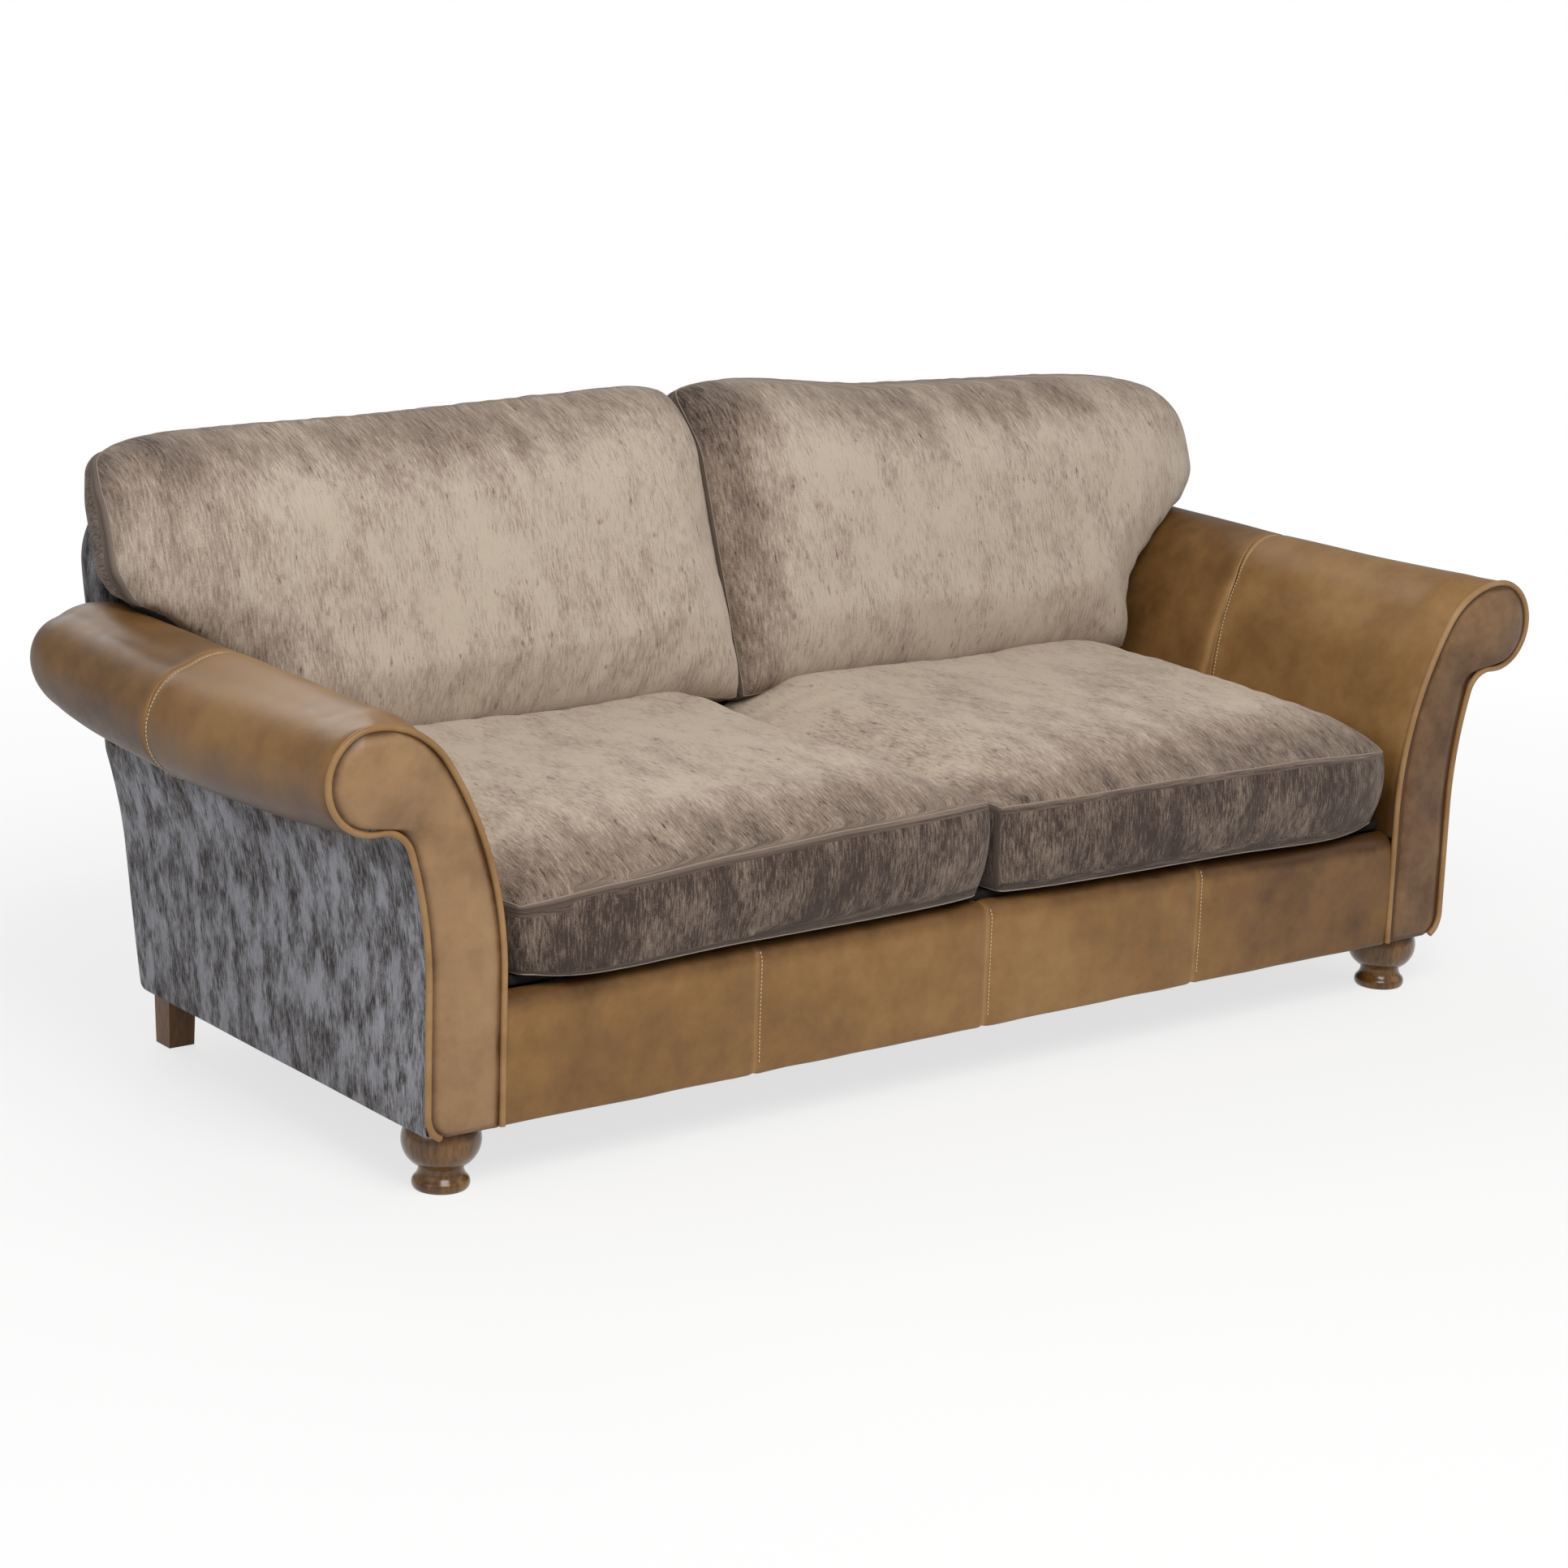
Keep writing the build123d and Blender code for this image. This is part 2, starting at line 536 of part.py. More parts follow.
def feet(parts, post, corner):
    """Feet and legs with their bolts and nuts, and the timber and cloth that the bolts pass through."""
    leg_x = SIDE_RAIL_IN - LEG_TOP / 2
    leg_y = rear_y(FRAME_BASE, POST_SETBACK + POST_DEPTH / 2)
    foot_at = (FOOT_PLACE, FOOT_SETBACK)
    leg_at = (leg_x, leg_y)
    top_square = Pos(0, 0, FRAME_BASE) * Rectangle(LEG_TOP, LEG_TOP)
    leg = loft([Rectangle(LEG_BASE, LEG_BASE), top_square])
    bolt_top = FRAME_BASE + BLOCK_HEIGHT - GAP
    bolt_low = FOOT_HEIGHT - BOLT_IN_FOOT

    def rod(place, radius, low, high):
        return Pos(place[0], place[1], (low + high) / 2) * Cylinder(radius, high - low)

    bolts = [rod(place, BOLT / 2, bolt_low, bolt_top) for place in (foot_at, leg_at)]
    wide = BOLT / 2 + HOLE_CLEARANCE
    holes = [rod(place, wide, bolt_low - GAP, bolt_top + GAP) for place in (foot_at, leg_at)]
    flange_base = FRAME_BASE + BLOCK_HEIGHT
    barrel = rod(foot_at, NUT_BARREL / 2, flange_base - NUT_DEPTH, flange_base)
    flange = rod(foot_at, NUT_FLANGE / 2, flange_base, flange_base + CLIP_PLATE)
    bore = rod(foot_at, wide, flange_base - NUT_DEPTH, flange_base + CLIP_PLATE)
    nut_wide = NUT_BARREL / 2 + HOLE_CLEARANCE
    seat = rod(foot_at, nut_wide, flange_base - NUT_DEPTH - GAP, flange_base + CLIP_PLATE)
    parts["tee_nuts"] = Compound(children=both_sides([barrel + flange - bore]))
    parts["foot_bolts"] = Compound(children=both_sides(bolts))
    pair(parts, "front_foot", Pos(*foot_at, 0) * front_foot() - holes[0])
    pair(parts, "rear_leg", Pos(*leg_at, 0) * leg - holes[1])

    cloth_from = BORDER_SETBACK + LEATHER + GAP
    leg_inside = leg_x - LEG_TOP / 2 - GAP
    leg_front = leg_y - LEG_TOP / 2 - GAP
    cloth = rectangle((-SIDE_RAIL_OUT, cloth_from), (SIDE_RAIL_OUT, leg_front))
    cloth += rectangle((-leg_inside, leg_front), (leg_inside, rear_y(FOOT_HEIGHT, PANEL + GAP)))
    cloth -= [Pos(x, FOOT_SETBACK) * Circle(wide) for x in (-FOOT_PLACE, FOOT_PLACE)]
    parts["dust_cover"] = Pos(0, 0, FOOT_HEIGHT) * extrude(cloth, amount=DUST_COVER)
    pair(parts, "back_post", post - holes[1])
    parts["corner_blocks"] = Compound(children=both_sides([corner - holes[0] - seat]))


def set_in(points, distance):
    """A counter-clockwise outline with every side moved inwards."""
    count = len(points)
    moved = []
    for i, point in enumerate(points):
        before = (point - points[i - 1]).normalized()
        after = (points[(i + 1) % count] - point).normalized()
        normal_before = Vector(-before.Y, before.X)
        normal_after = Vector(-after.Y, after.X)
        share = distance / (1 + normal_before.dot(normal_after))
        moved.append(point + (normal_before + normal_after) * share)
    return moved


def soft_outline(points, radii):
    """A closed outline with rounded corners; a radius of None bends a long side gently."""
    count = len(points)
    rounds = []
    for i, radius in enumerate(radii):
        before = points[i] - points[i - 1]
        after = points[(i + 1) % count] - points[i]
        if radius is None:
            turn = radians(before.get_angle(after))
            radius = BEND_SHARE * min(before.length, after.length) / tan(turn / 2)
        rounds.append(radius)
    return make_face(FilletPolyline(*points, radius=rounds, close=True))


def cushion(plane, outline, cap, radii, cap_corner, seam, crown, inset):
    """A boxed cushion: drawn in at its foot and middle, full at its seam, domed to a smaller cap."""
    outer = set_in(outline, inset)
    inner = set_in(cap, inset)
    levels = [(inset, CUSHION_FOOT_INSET), (seam * BOXING_FULL, 1), (seam * BOXING_PULLED, SIDE_PULL)]
    sections = [plane.offset(h) * soft_outline(set_in(outer, d), radii) for h, d in levels]
    last = radians(CROWN_STEPS[-1])
    for step in CROWN_STEPS:
        angle = radians(step)
        share = (1 - cos(angle)) / (1 - cos(last))
        rise = (crown - inset) * sin(angle) / sin(last)
        points = [a + (b - a) * share for a, b in zip(outer, inner)]
        rounds = [r and r + (cap_corner - r) * share for r in radii]
        sections.append(plane.offset(seam + rise) * soft_outline(points, rounds))
    return loft(sections, ruled=True)


def seat_cushion(inset):
    """The right seat cushion, bulged at its front and drawn in along its sides."""
    left = CUSHION_GAP / 2
    right = SEAT_HALF - ARM_CLEARANCE
    front = SEAT_FRONT
    rear = wedge_y(DECK_TOP) - 2 * GAP
    middle_x = (left + right) / 2
    middle_y = (front + rear) / 2
    outline = [
        Vector(left, front),
        Vector(middle_x, front - SEAT_BULGE),
        Vector(right, front),
        Vector(right - SIDE_PULL, middle_y),
        Vector(right, rear),
        Vector(middle_x, rear - SIDE_PULL),
        Vector(left, rear),
        Vector(left + SIDE_PULL, middle_y),
    ]
    cap = [
        Vector(left + SEAT_CAP_INSET, front + SEAT_CAP_INSET),
        Vector(middle_x, front + SEAT_CAP_INSET - SEAT_BULGE),
        Vector(right - SEAT_CAP_INSET, front + SEAT_CAP_INSET),
        Vector(right - SEAT_CAP_INSET - SIDE_PULL, middle_y),
        Vector(right - SEAT_CAP_INSET, rear - SEAT_CAP_REAR),
        Vector(middle_x, rear - SEAT_CAP_REAR - SIDE_PULL),
        Vector(left + SEAT_CAP_INSET, rear - SEAT_CAP_REAR),
        Vector(left + SEAT_CAP_INSET + SIDE_PULL, middle_y),
    ]
    radii = [SEAT_CORNER, None, SEAT_CORNER, None, SEAT_CORNER, None, SEAT_CORNER, None]
    plane = Plane((0, 0, SEAT_BASE))
    return cushion(plane, outline, cap, radii, CAP_CORNER, SEAT_SEAM, SEAT_CROWN, inset)


def back_cushion(inset):
    """The right back cushion: narrow between the arms, with an ear above the arm."""
    left = CUSHION_GAP / 2
    right = SEAT_HALF - ARM_CLEARANCE
    lean = radians(WEDGE_LEAN)
    foot = SEAT_TOP + GAP - BACK_SEAM * sin(lean)
    plane = Plane((0, wedge_y(foot) - GAP / cos(lean), foot), (1, 0, 0), (0, -cos(lean), sin(lean)))
    reach = SEAT_HALF + EAR_OVER_ARM
    notch = SEAT_HALF + EAR_NOTCH_OUT
    start = (ARM_HEIGHT + EAR_LIFT - foot) / cos(lean)
    ear = BACK_HEIGHT - start - EAR_ROUND
    middle = (left + reach) / 2
    outline = [
        Vector(left, 0),
        Vector((left + right) / 2, SIDE_PULL),
        Vector(right, 0),
        Vector(notch, start),
        Vector(reach, start + EAR_ROUND),
        Vector(reach, BACK_HEIGHT),
        Vector(middle, BACK_HEIGHT - SIDE_PULL),
        Vector(left, BACK_HEIGHT),
        Vector(left + SIDE_PULL, BACK_HEIGHT / 2),
    ]
    near = BACK_CAP_INSET
    cap_top = BACK_HEIGHT - ear * TOP_CAP_SHARE
    cap_low = start + EAR_ROUND + ear * EAR_CAP_RISE
    cap_corner = min(CAP_CORNER, (cap_top - cap_low) / 3)
    cap = [
        Vector(left + near, near),
        Vector((left + right) / 2, near + SIDE_PULL),
        Vector(right - near, near),
        Vector(notch - near, start + EAR_CAP_LOW),
        Vector(reach - near, cap_low),
        Vector(reach - near, cap_top),
        Vector(middle, cap_top - SIDE_PULL),
        Vector(left + near, cap_top),
        Vector(left + near + SIDE_PULL, BACK_HEIGHT / 2),
    ]
    top = min(BACK_TOP_ROUND, ear - EAR_ROUND - 2 * CUSHION_FOOT_INSET)
    radii = [BACK_CORNER, None, BACK_CORNER, EAR_ROUND, EAR_ROUND, top, None, top, None]
    return cushion(plane, outline, cap, radii, cap_corner, BACK_SEAM, BACK_CROWN, inset)


def cushions(parts):
    """Loose cushions, each a hollow cover with its filling inside."""
    for name, shape in (("seat_cushion", seat_cushion), ("back_cushion", back_cushion)):
        pair(parts, name + "_cover", shape(0) - shape(COVER))
        pair(parts, name + "_filling", shape(COVER + GAP))


def build():
    """All pieces by name, standing on the floor around the origin."""
    parts = {}
    arms(parts)
    outside(parts)
    post = back_frame(parts)
    corner = seat_frame(parts)
    springs(parts)
    border(parts)
    feet(parts, post, corner)
    cushions(parts)
    front = min(p.bounding_box().min.Y for p in parts.values())
    rear = max(p.bounding_box().max.Y for p in parts.values())
    return {name: Pos(0, -(front + rear) / 2, 0) * p for name, p in parts.items()}


os.makedirs("parts", exist_ok=True)
for name, shape in build().items():
    export_step(shape, f"parts/{name}.step")
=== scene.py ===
import bmesh
import bpy
import json
from math import atan2, cos, degrees, exp, hypot, pi, radians, sin, sqrt, tan
from mathutils import Matrix, Vector, noise


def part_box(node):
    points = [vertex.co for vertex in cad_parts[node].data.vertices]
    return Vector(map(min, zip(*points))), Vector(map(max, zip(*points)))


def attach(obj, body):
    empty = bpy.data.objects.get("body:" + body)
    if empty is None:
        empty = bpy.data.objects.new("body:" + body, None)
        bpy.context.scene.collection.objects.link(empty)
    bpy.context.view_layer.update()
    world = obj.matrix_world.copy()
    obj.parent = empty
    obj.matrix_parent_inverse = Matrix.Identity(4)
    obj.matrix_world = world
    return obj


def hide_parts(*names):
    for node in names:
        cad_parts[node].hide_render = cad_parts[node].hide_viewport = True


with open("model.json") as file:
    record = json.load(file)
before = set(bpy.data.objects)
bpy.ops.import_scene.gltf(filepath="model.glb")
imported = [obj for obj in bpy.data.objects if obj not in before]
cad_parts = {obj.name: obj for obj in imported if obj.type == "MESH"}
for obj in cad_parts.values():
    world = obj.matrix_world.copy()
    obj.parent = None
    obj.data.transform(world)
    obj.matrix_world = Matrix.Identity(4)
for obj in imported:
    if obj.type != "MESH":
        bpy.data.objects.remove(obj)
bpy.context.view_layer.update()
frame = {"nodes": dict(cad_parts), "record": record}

# The timber frame, springs and webbing: bare softwood boards and rails, glued and stapled,
# with zigzag wire springs clipped across the seat and woven straps stapled across the back.
# All of it is hidden under the padding, so the solids stay and only get their finishes.


def add(tree, kind, values=None, **settings):
    """A new node; values go to its inputs by name or number, as numbers or as links."""
    node = tree.nodes.new(kind)
    for key, value in settings.items():
        setattr(node, key, value)
    for key, value in (values or {}).items():
        socket = node.inputs[key]
        if isinstance(value, bpy.types.NodeSocket):
            tree.links.new(value, socket)
        else:
            socket.default_value = value
    return node


def finish(name, **sockets):
    """A new material with its node tree and its shader, whose uniform values are set here."""
    material = bpy.data.materials.new(name)
    material.use_nodes = True
    shader = material.node_tree.nodes["Principled BSDF"]
    for key, value in sockets.items():
        shader.inputs[key.replace("_", " ")].default_value = value
    return material, material.node_tree, shader


def own_place(tree):
    """Coordinates on the piece itself, in metres."""
    return add(tree, "ShaderNodeTexCoord").outputs["Object"]


def stretched(tree, coordinates, stretch):
    """Coordinates scaled along each axis, in repeats per metre."""
    values = {"Vector": coordinates, "Scale": stretch}
    return add(tree, "ShaderNodeMapping", values).outputs["Vector"]


def speckle(tree, coordinates, scale, detail=3.0, roughness=0.5):
    """Soft noise from 0 to 1."""
    values = {"Vector": coordinates, "Scale": scale, "Detail": detail, "Roughness": roughness}
    return add(tree, "ShaderNodeTexNoise", values).outputs["Fac"]


def tint(tree, shader, factor, stops):
    """A colour ramp through the given places and colours, wired to the shader's colour."""
    node = add(tree, "ShaderNodeValToRGB", {"Fac": factor})
    elements = node.color_ramp.elements
    while len(elements) < len(stops):
        elements.new(0.5)
    for element, (place, colour) in zip(elements, stops):
        element.position = place
        element.color = (*colour, 1.0)
    tree.links.new(node.outputs["Color"], shader.inputs["Base Color"])


def level(tree, value, low, high, to_low=0.0, to_high=1.0):
    """A value moved from one range to another."""
    values = {"Value": value, "From Min": low, "From Max": high}
    values.update({"To Min": to_low, "To Max": to_high})
    return add(tree, "ShaderNodeMapRange", values).outputs["Result"]


def swing(tree, value, spread):
    """Noise moved to a range on both sides of nothing."""
    return level(tree, value, 0.3, 0.7, -spread, spread)


def sums(tree, operation, first, second):
    """One step of arithmetic on two values."""
    values = {0: first, 1: second}
    return add(tree, "ShaderNodeMath", values, operation=operation).outputs["Value"]


def raised(tree, shader, height, strength, distance):
    """A bump from a height, wired to the shader."""
    values = {"Height": height, "Strength": strength, "Distance": distance}
    bump = add(tree, "ShaderNodeBump", values)
    tree.links.new(bump.outputs["Normal"], shader.inputs["Normal"])


def timber(name, dark, light, stretch, **sockets):
    """Wood with long grain along the axis that is stretched least."""
    material, tree, shader = finish(name, **sockets)
    place = own_place(tree)
    figure = speckle(tree, stretched(tree, place, stretch), 1.0, 6.0, 0.62)
    pores = speckle(tree, stretched(tree, place, [7 * s for s in stretch]), 1.0, 2.0)
    grain = sums(tree, "ADD", figure, swing(tree, pores, 0.12))
    middle = [(a + b) / 2 for a, b in zip(dark, light)]
    tint(tree, shader, grain, [(0.32, dark), (0.5, middle), (0.68, light)])
    raised(tree, shader, grain, 0.12, 0.002)
    return material


def fibrous(name, fineness, dark, light, bump=0.0, **sockets):
    """Matt cloth or thread, speckled between two colours, with its fibres raised."""
    material, tree, shader = finish(name, **sockets)
    fibres = speckle(tree, own_place(tree), fineness, 2.0)
    tint(tree, shader, fibres, [(0.3, dark), (0.7, light)])
    if bump:
        raised(tree, shader, fibres, 0.4, bump)
    return material


def dress(slot, material):
    """Gives a material to every solid of one slot of the record."""
    for part in frame["record"]["subparts"]:
        if part["material_slot"] == slot:
            frame["nodes"][part["node"]].material_slots[0].material = material


softwood = timber(
    "bare_softwood", (0.36, 0.22, 0.11), (0.58, 0.41, 0.24), (30, 6, 30), Roughness=0.75,
)
dress("frame_timber", softwood)

wire, tree, shader = finish("bright_wire", Metallic=1.0)
drawn = speckle(tree, stretched(tree, own_place(tree), (400, 400, 90)), 1.0)
tint(tree, shader, drawn, [(0.3, (0.25, 0.25, 0.26)), (0.7, (0.48, 0.48, 0.5))])
tree.links.new(level(tree, drawn, 0.3, 0.7, 0.28, 0.45), shader.inputs["Roughness"])
dress("steel", wire)

lining = fibrous(
    "black_lining", 900.0, (0.008, 0.007, 0.007), (0.030, 0.028, 0.027), 0.0006,
    Roughness=0.95, Specular_IOR_Level=0.1,
)
dress("lining", lining)

# The feet: turned hardwood buns in a gloss honey lacquer under the front corners, and plain
# square legs in a darker stain under the rear posts. Each is bolted up into the frame, and
# the solids already have the turned and tapered shapes.

foot_wood = timber(
    "honey_lacquered_foot", (0.075, 0.028, 0.005), (0.215, 0.102, 0.022), (26, 26, 7),
    Roughness=0.3, Coat_Weight=0.45, Coat_Roughness=0.1, Specular_IOR_Level=0.35,
)
dress("foot_wood", foot_wood)
leg_wood = timber(
    "dark_stained_leg", (0.075, 0.029, 0.009), (0.185, 0.085, 0.027), (30, 30, 6),
    Roughness=0.42, Coat_Weight=0.1, Coat_Roughness=0.2, Specular_IOR_Level=0.25,
)
dress("leg_wood", leg_wood)

# The arms: a timber box padded with foam and fibre, under a cover of waxed pull-up leather in
# two lengths. They meet in a sewn cross seam halfway along, and the rear length is gathered
# round the end of the roll and tacked to the back.

SIDES = ((-1, "left"), (1, "right"))
COVER_LOW, COVER_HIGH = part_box("arm_cover_front_right")
SEAT_HALF, ARM_OUTER, ARM_HEIGHT = COVER_LOW[0], COVER_HIGH[0], COVER_HIGH[2]
ARM_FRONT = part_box("arm_facing_right")[0][1]
CROSS_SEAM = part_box("arm_cover_rear_right")[0][1]
ARM_THICK = 0.118
SHELL_HALF = SEAT_HALF + ARM_THICK
FLARE_START = 0.290
SHOULDER_RADIUS, SCROLL_RADIUS, NECK_RADIUS = 0.130, 0.070, 0.042
OUTER_FLARE_RADIUS = 0.618
FLOOR_GAP = 0.088
RAKE = radians(11.5)
REAR_FOOT = (0.090, ARM_FRONT + 0.816)
SCROLL = (ARM_OUTER - SCROLL_RADIUS, ARM_HEIGHT - SCROLL_RADIUS)


def rear_face(height, depth=0.0):
    """Y of the leaning back at a height, at a depth in front of its rear face."""
    return REAR_FOOT[1] + (height - REAR_FOOT[0]) * tan(RAKE) - depth / cos(RAKE)


def arc(centre, radius, start, end, count=24):
    """Points along an arc, with its angles in degrees."""
    angles = [radians(start + (end - start) * i / count) for i in range(count + 1)]
    return [(centre[0] + radius * cos(a), centre[1] + radius * sin(a)) for a in angles]


def heading(start, end):
    """Direction from one point to another, in degrees."""
    return degrees(atan2(end[1] - start[1], end[0] - start[0]))


def arm_outline(inset, bottom):
    """The right arm's section, from its inside foot over the scroll to its outside foot."""
    across, rise = SCROLL[0] - SEAT_HALF, ARM_HEIGHT - FLARE_START
    square = across**2 + rise**2 - 2 * rise * SHOULDER_RADIUS
    radius = square / (2 * (across - SHOULDER_RADIUS))
    flare = (SEAT_HALF + radius, FLARE_START)
    crown = (SCROLL[0], ARM_HEIGHT - SHOULDER_RADIUS)
    outer = Vector((SHELL_HALF + OUTER_FLARE_RADIUS, FLARE_START))
    way = outer - Vector(SCROLL)
    near, far = SCROLL_RADIUS + NECK_RADIUS, OUTER_FLARE_RADIUS - NECK_RADIUS
    reach = (near**2 - far**2 + way.length_squared) / (2 * way.length)
    aside = Vector((-way.y, way.x)).normalized() * sqrt(near**2 - reach**2)
    neck = Vector(SCROLL) + way.normalized() * reach - aside
    to_crown, to_wall = heading(flare, crown), heading(outer, neck)
    points = [(SEAT_HALF + inset, bottom)]
    points += arc(flare, radius - inset, 180, to_crown)
    points += arc(crown, SHOULDER_RADIUS - inset, to_crown, 90)[1:]
    points += arc(SCROLL, SCROLL_RADIUS - inset, 90, heading(SCROLL, neck), 48)[1:]
    points += arc(neck, NECK_RADIUS + inset, heading(neck, SCROLL), to_wall)[1:]
    points += arc(outer, OUTER_FLARE_RADIUS + inset, to_wall, 180)[1:]
    return points + [(SHELL_HALF - inset, bottom)]


def run_of(points):
    """Distance of each point along the line through them, from the first one."""
    lengths = [0.0]
    for a, b in zip(points, points[1:]):
        lengths.append(lengths[-1] + (b - a).length)
    return lengths


def spaced(points, count):
    """Points evenly spaced along a line through the given ones."""
    points = [Vector(p) for p in points]
    lengths = run_of(points)
    result, i = [], 0
    for k in range(count + 1):
        goal = lengths[-1] * k / count
        while i < len(points) - 2 and lengths[i + 1] < goal:
            i += 1
        run = lengths[i + 1] - lengths[i]
        result.append(points[i].lerp(points[i + 1], (goal - lengths[i]) / run if run else 0.0))
    return result


def normals(points):
    """Left-hand normals of a flat line, which point outwards along the arm's section."""
    result = []
    for i in range(len(points)):
        way = (points[min(i + 1, len(points) - 1)] - points[max(i - 1, 0)]).normalized()
        result.append(Vector((-way.y, way.x)))
    return result


def smooth(value, low, high):
    """0 below low, 1 above high, and a soft step between."""
    t = max(0.0, min(1.0, (value - low) / (high - low)))
    return t * t * (3 - 2 * t)


def bell(distance, width):
    """1 at no distance, and softly down to nothing past the width."""
    return exp(-((distance / width) ** 2))


def piece_from(name, points, faces, material, uv, shade):
    """An object from points and faces, smooth, with its cloth map in metres and its shade."""
    mesh = bpy.data.meshes.new(name)
    mesh.from_pydata([tuple(p) for p in points], [], faces)
    mesh.shade_smooth()
    layer = mesh.uv_layers.new(name="cloth")
    for loop in mesh.loops:
        layer.data[loop.index].uv = uv[loop.vertex_index]
    mesh.attributes.new("shade", "FLOAT", "POINT").data.foreach_set("value", shade)
    mesh.materials.append(material)
    piece = bpy.data.objects.new(name, mesh)
    bpy.context.scene.collection.objects.link(piece)
    return piece


def sheet_from(name, rows, material, flip=False):
    """A sheet of quads through rows of points and their shades, mapped along and across."""
    high, wide = len(rows), len(rows[0])
    across = run_of([point for point, _ in rows[high // 2]])
    along = run_of([row[wide // 2][0] for row in rows])
    points = [point for row in rows for point, _ in row]
    shade = [tone for row in rows for _, tone in row]
    uv = [(across[c], along[r]) for r in range(high) for c in range(wide)]
    faces = []
    for r in range(high - 1):
        for c in range(wide - 1):
            near, far = r * wide + c, (r + 1) * wide + c
            quad = [near, near + 1, far + 1, far]
            faces.append(quad[::-1] if flip else quad)
    return piece_from(name, points, faces, material, uv, shade)


def rounded(piece, thickness=0.0):
    """Gives a sheet its thickness inwards, and one finer level."""
    if thickness:
        wall = piece.modifiers.new("thickness", "SOLIDIFY")
        wall.thickness = thickness
        wall.offset = -1.0
    fine = piece.modifiers.new("finer", "SUBSURF")
    fine.levels = fine.render_levels = 1
    return piece


def waxed_leather(name, dark, middle, light):
    """Pull-up leather: cloudy dyed colour, fine grain, darkened by painted shade and darker
    pieces, paler where stretched or rubbed.
    """
    material, tree, shader = finish(
        name, Coat_Weight=0.06, Coat_Roughness=0.3, Specular_IOR_Level=0.32,
    )
    place = own_place(tree)
    shade = add(tree, "ShaderNodeAttribute", attribute_name="shade").outputs["Fac"]
    clouds = speckle(tree, place, 5.5, 5.0, 0.6)
    spots = speckle(tree, place, 38.0, 4.0, 0.6)
    dye_and_painted_shade = level(tree, clouds, 0.25, 0.75, 0.3, 0.7)
    dye_and_painted_shade = sums(tree, "ADD", dye_and_painted_shade, swing(tree, spots, 0.05))
    # The shade attribute darkens the colour: painted shade, darker leather pieces, and paler
    # rubbed seams.
    dye_and_painted_shade = sums(tree, "SUBTRACT", dye_and_painted_shade, sums(tree, "MULTIPLY", shade, 0.5))
    tint(tree, shader, dye_and_painted_shade, [(0.08, dark), (0.46, middle), (0.78, light)])
    pebbles = {"Vector": place, "Scale": 620.0}
    cells = add(tree, "ShaderNodeTexVoronoi", pebbles).outputs["Distance"]
    creases = speckle(tree, place, 150.0, 6.0, 0.7)
    grain = sums(tree, "ADD", sums(tree, "MULTIPLY", cells, 0.5), creases)
    raised(tree, shader, grain, 0.16, 0.0016)
    wear = level(tree, sums(tree, "ADD", spots, clouds), 0.7, 1.3, 0.38, 0.54)
    tree.links.new(wear, shader.inputs["Roughness"])
    return material


arm_leather = waxed_leather(
    "tan_arm_leather", (0.070, 0.029, 0.007), (0.232, 0.118, 0.036), (0.360, 0.208, 0.080),
)
LEATHER = 0.003
ARM_ROWS, ARM_COLUMNS = 64, 92
COVER_FRONT = ARM_FRONT + 0.004
COVER_FOOT = 0.255
# The roll's underside, where the cover ends: degrees below level, seen from the scroll.
UNDER_ROLL = -80
# How far the padding stands out from the bare section, and where it sags, dips and ends.
ARM_FULL, PAD_STRETCH, SHOULDER_FULL, SHOULDER_RUN = 0.003, 1.08, 0.024, 0.07
BELLY_OUT, BELLY_DOWN, BELLY_ANGLE, BELLY_TURN = 0.01105, 0.00935, 0.5, 1.2
TOP_DIP, TOP_BAND = 0.012, (0.52, 0.62)
RIPPLE, GATHER, GATHER_RUN = 0.0022, 0.0012, 0.05
EDGE_DIP, EDGE_RUN = 0.005, 0.012
SEAM_DIP, SEAM_WIDTH, SEAM_HEIGHT = 0.0035, 0.0045, 0.57
END_ROUND, END_DRAW, END_DEPTH, END_BAND = 0.085, 0.022, 0.0755, (0.40, 0.55)
# Painted shade low down and under the roll, and at the roll's rear end.
# The stretched seam is paler, and the length behind it is darker leather.
LOW_PAINTED_SHADE, SEAM_TONE, REAR_TONE, END_PAINTED_SHADE = 0.95, -0.45, 0.42, 0.2
LOW_INSIDE, LOW_OUTSIDE = (0.27, 0.42), (0.50, 0.60)
outline = arm_outline(0.0, COVER_FOOT)
seam_row = next(
    i for i, p in enumerate(outline) if p[0] > SCROLL[0] and heading(SCROLL, p) < UNDER_ROLL
)
section = spaced(outline[: seam_row + 3], ARM_COLUMNS)
outward = normals(section)


def shoulder(out):
    """How much fuller the arm is on its inside shoulder, by the way its surface faces."""
    return SHOULDER_FULL * smooth(out.y, 0.25, 0.9) * smooth(-out.x, -0.2, 0.45)


def arm_share(y):
    """How far along the arm a place lies, at the height where the seam is measured."""
    return (y - COVER_FRONT) / (rear_face(SEAM_HEIGHT, END_DEPTH) - COVER_FRONT)


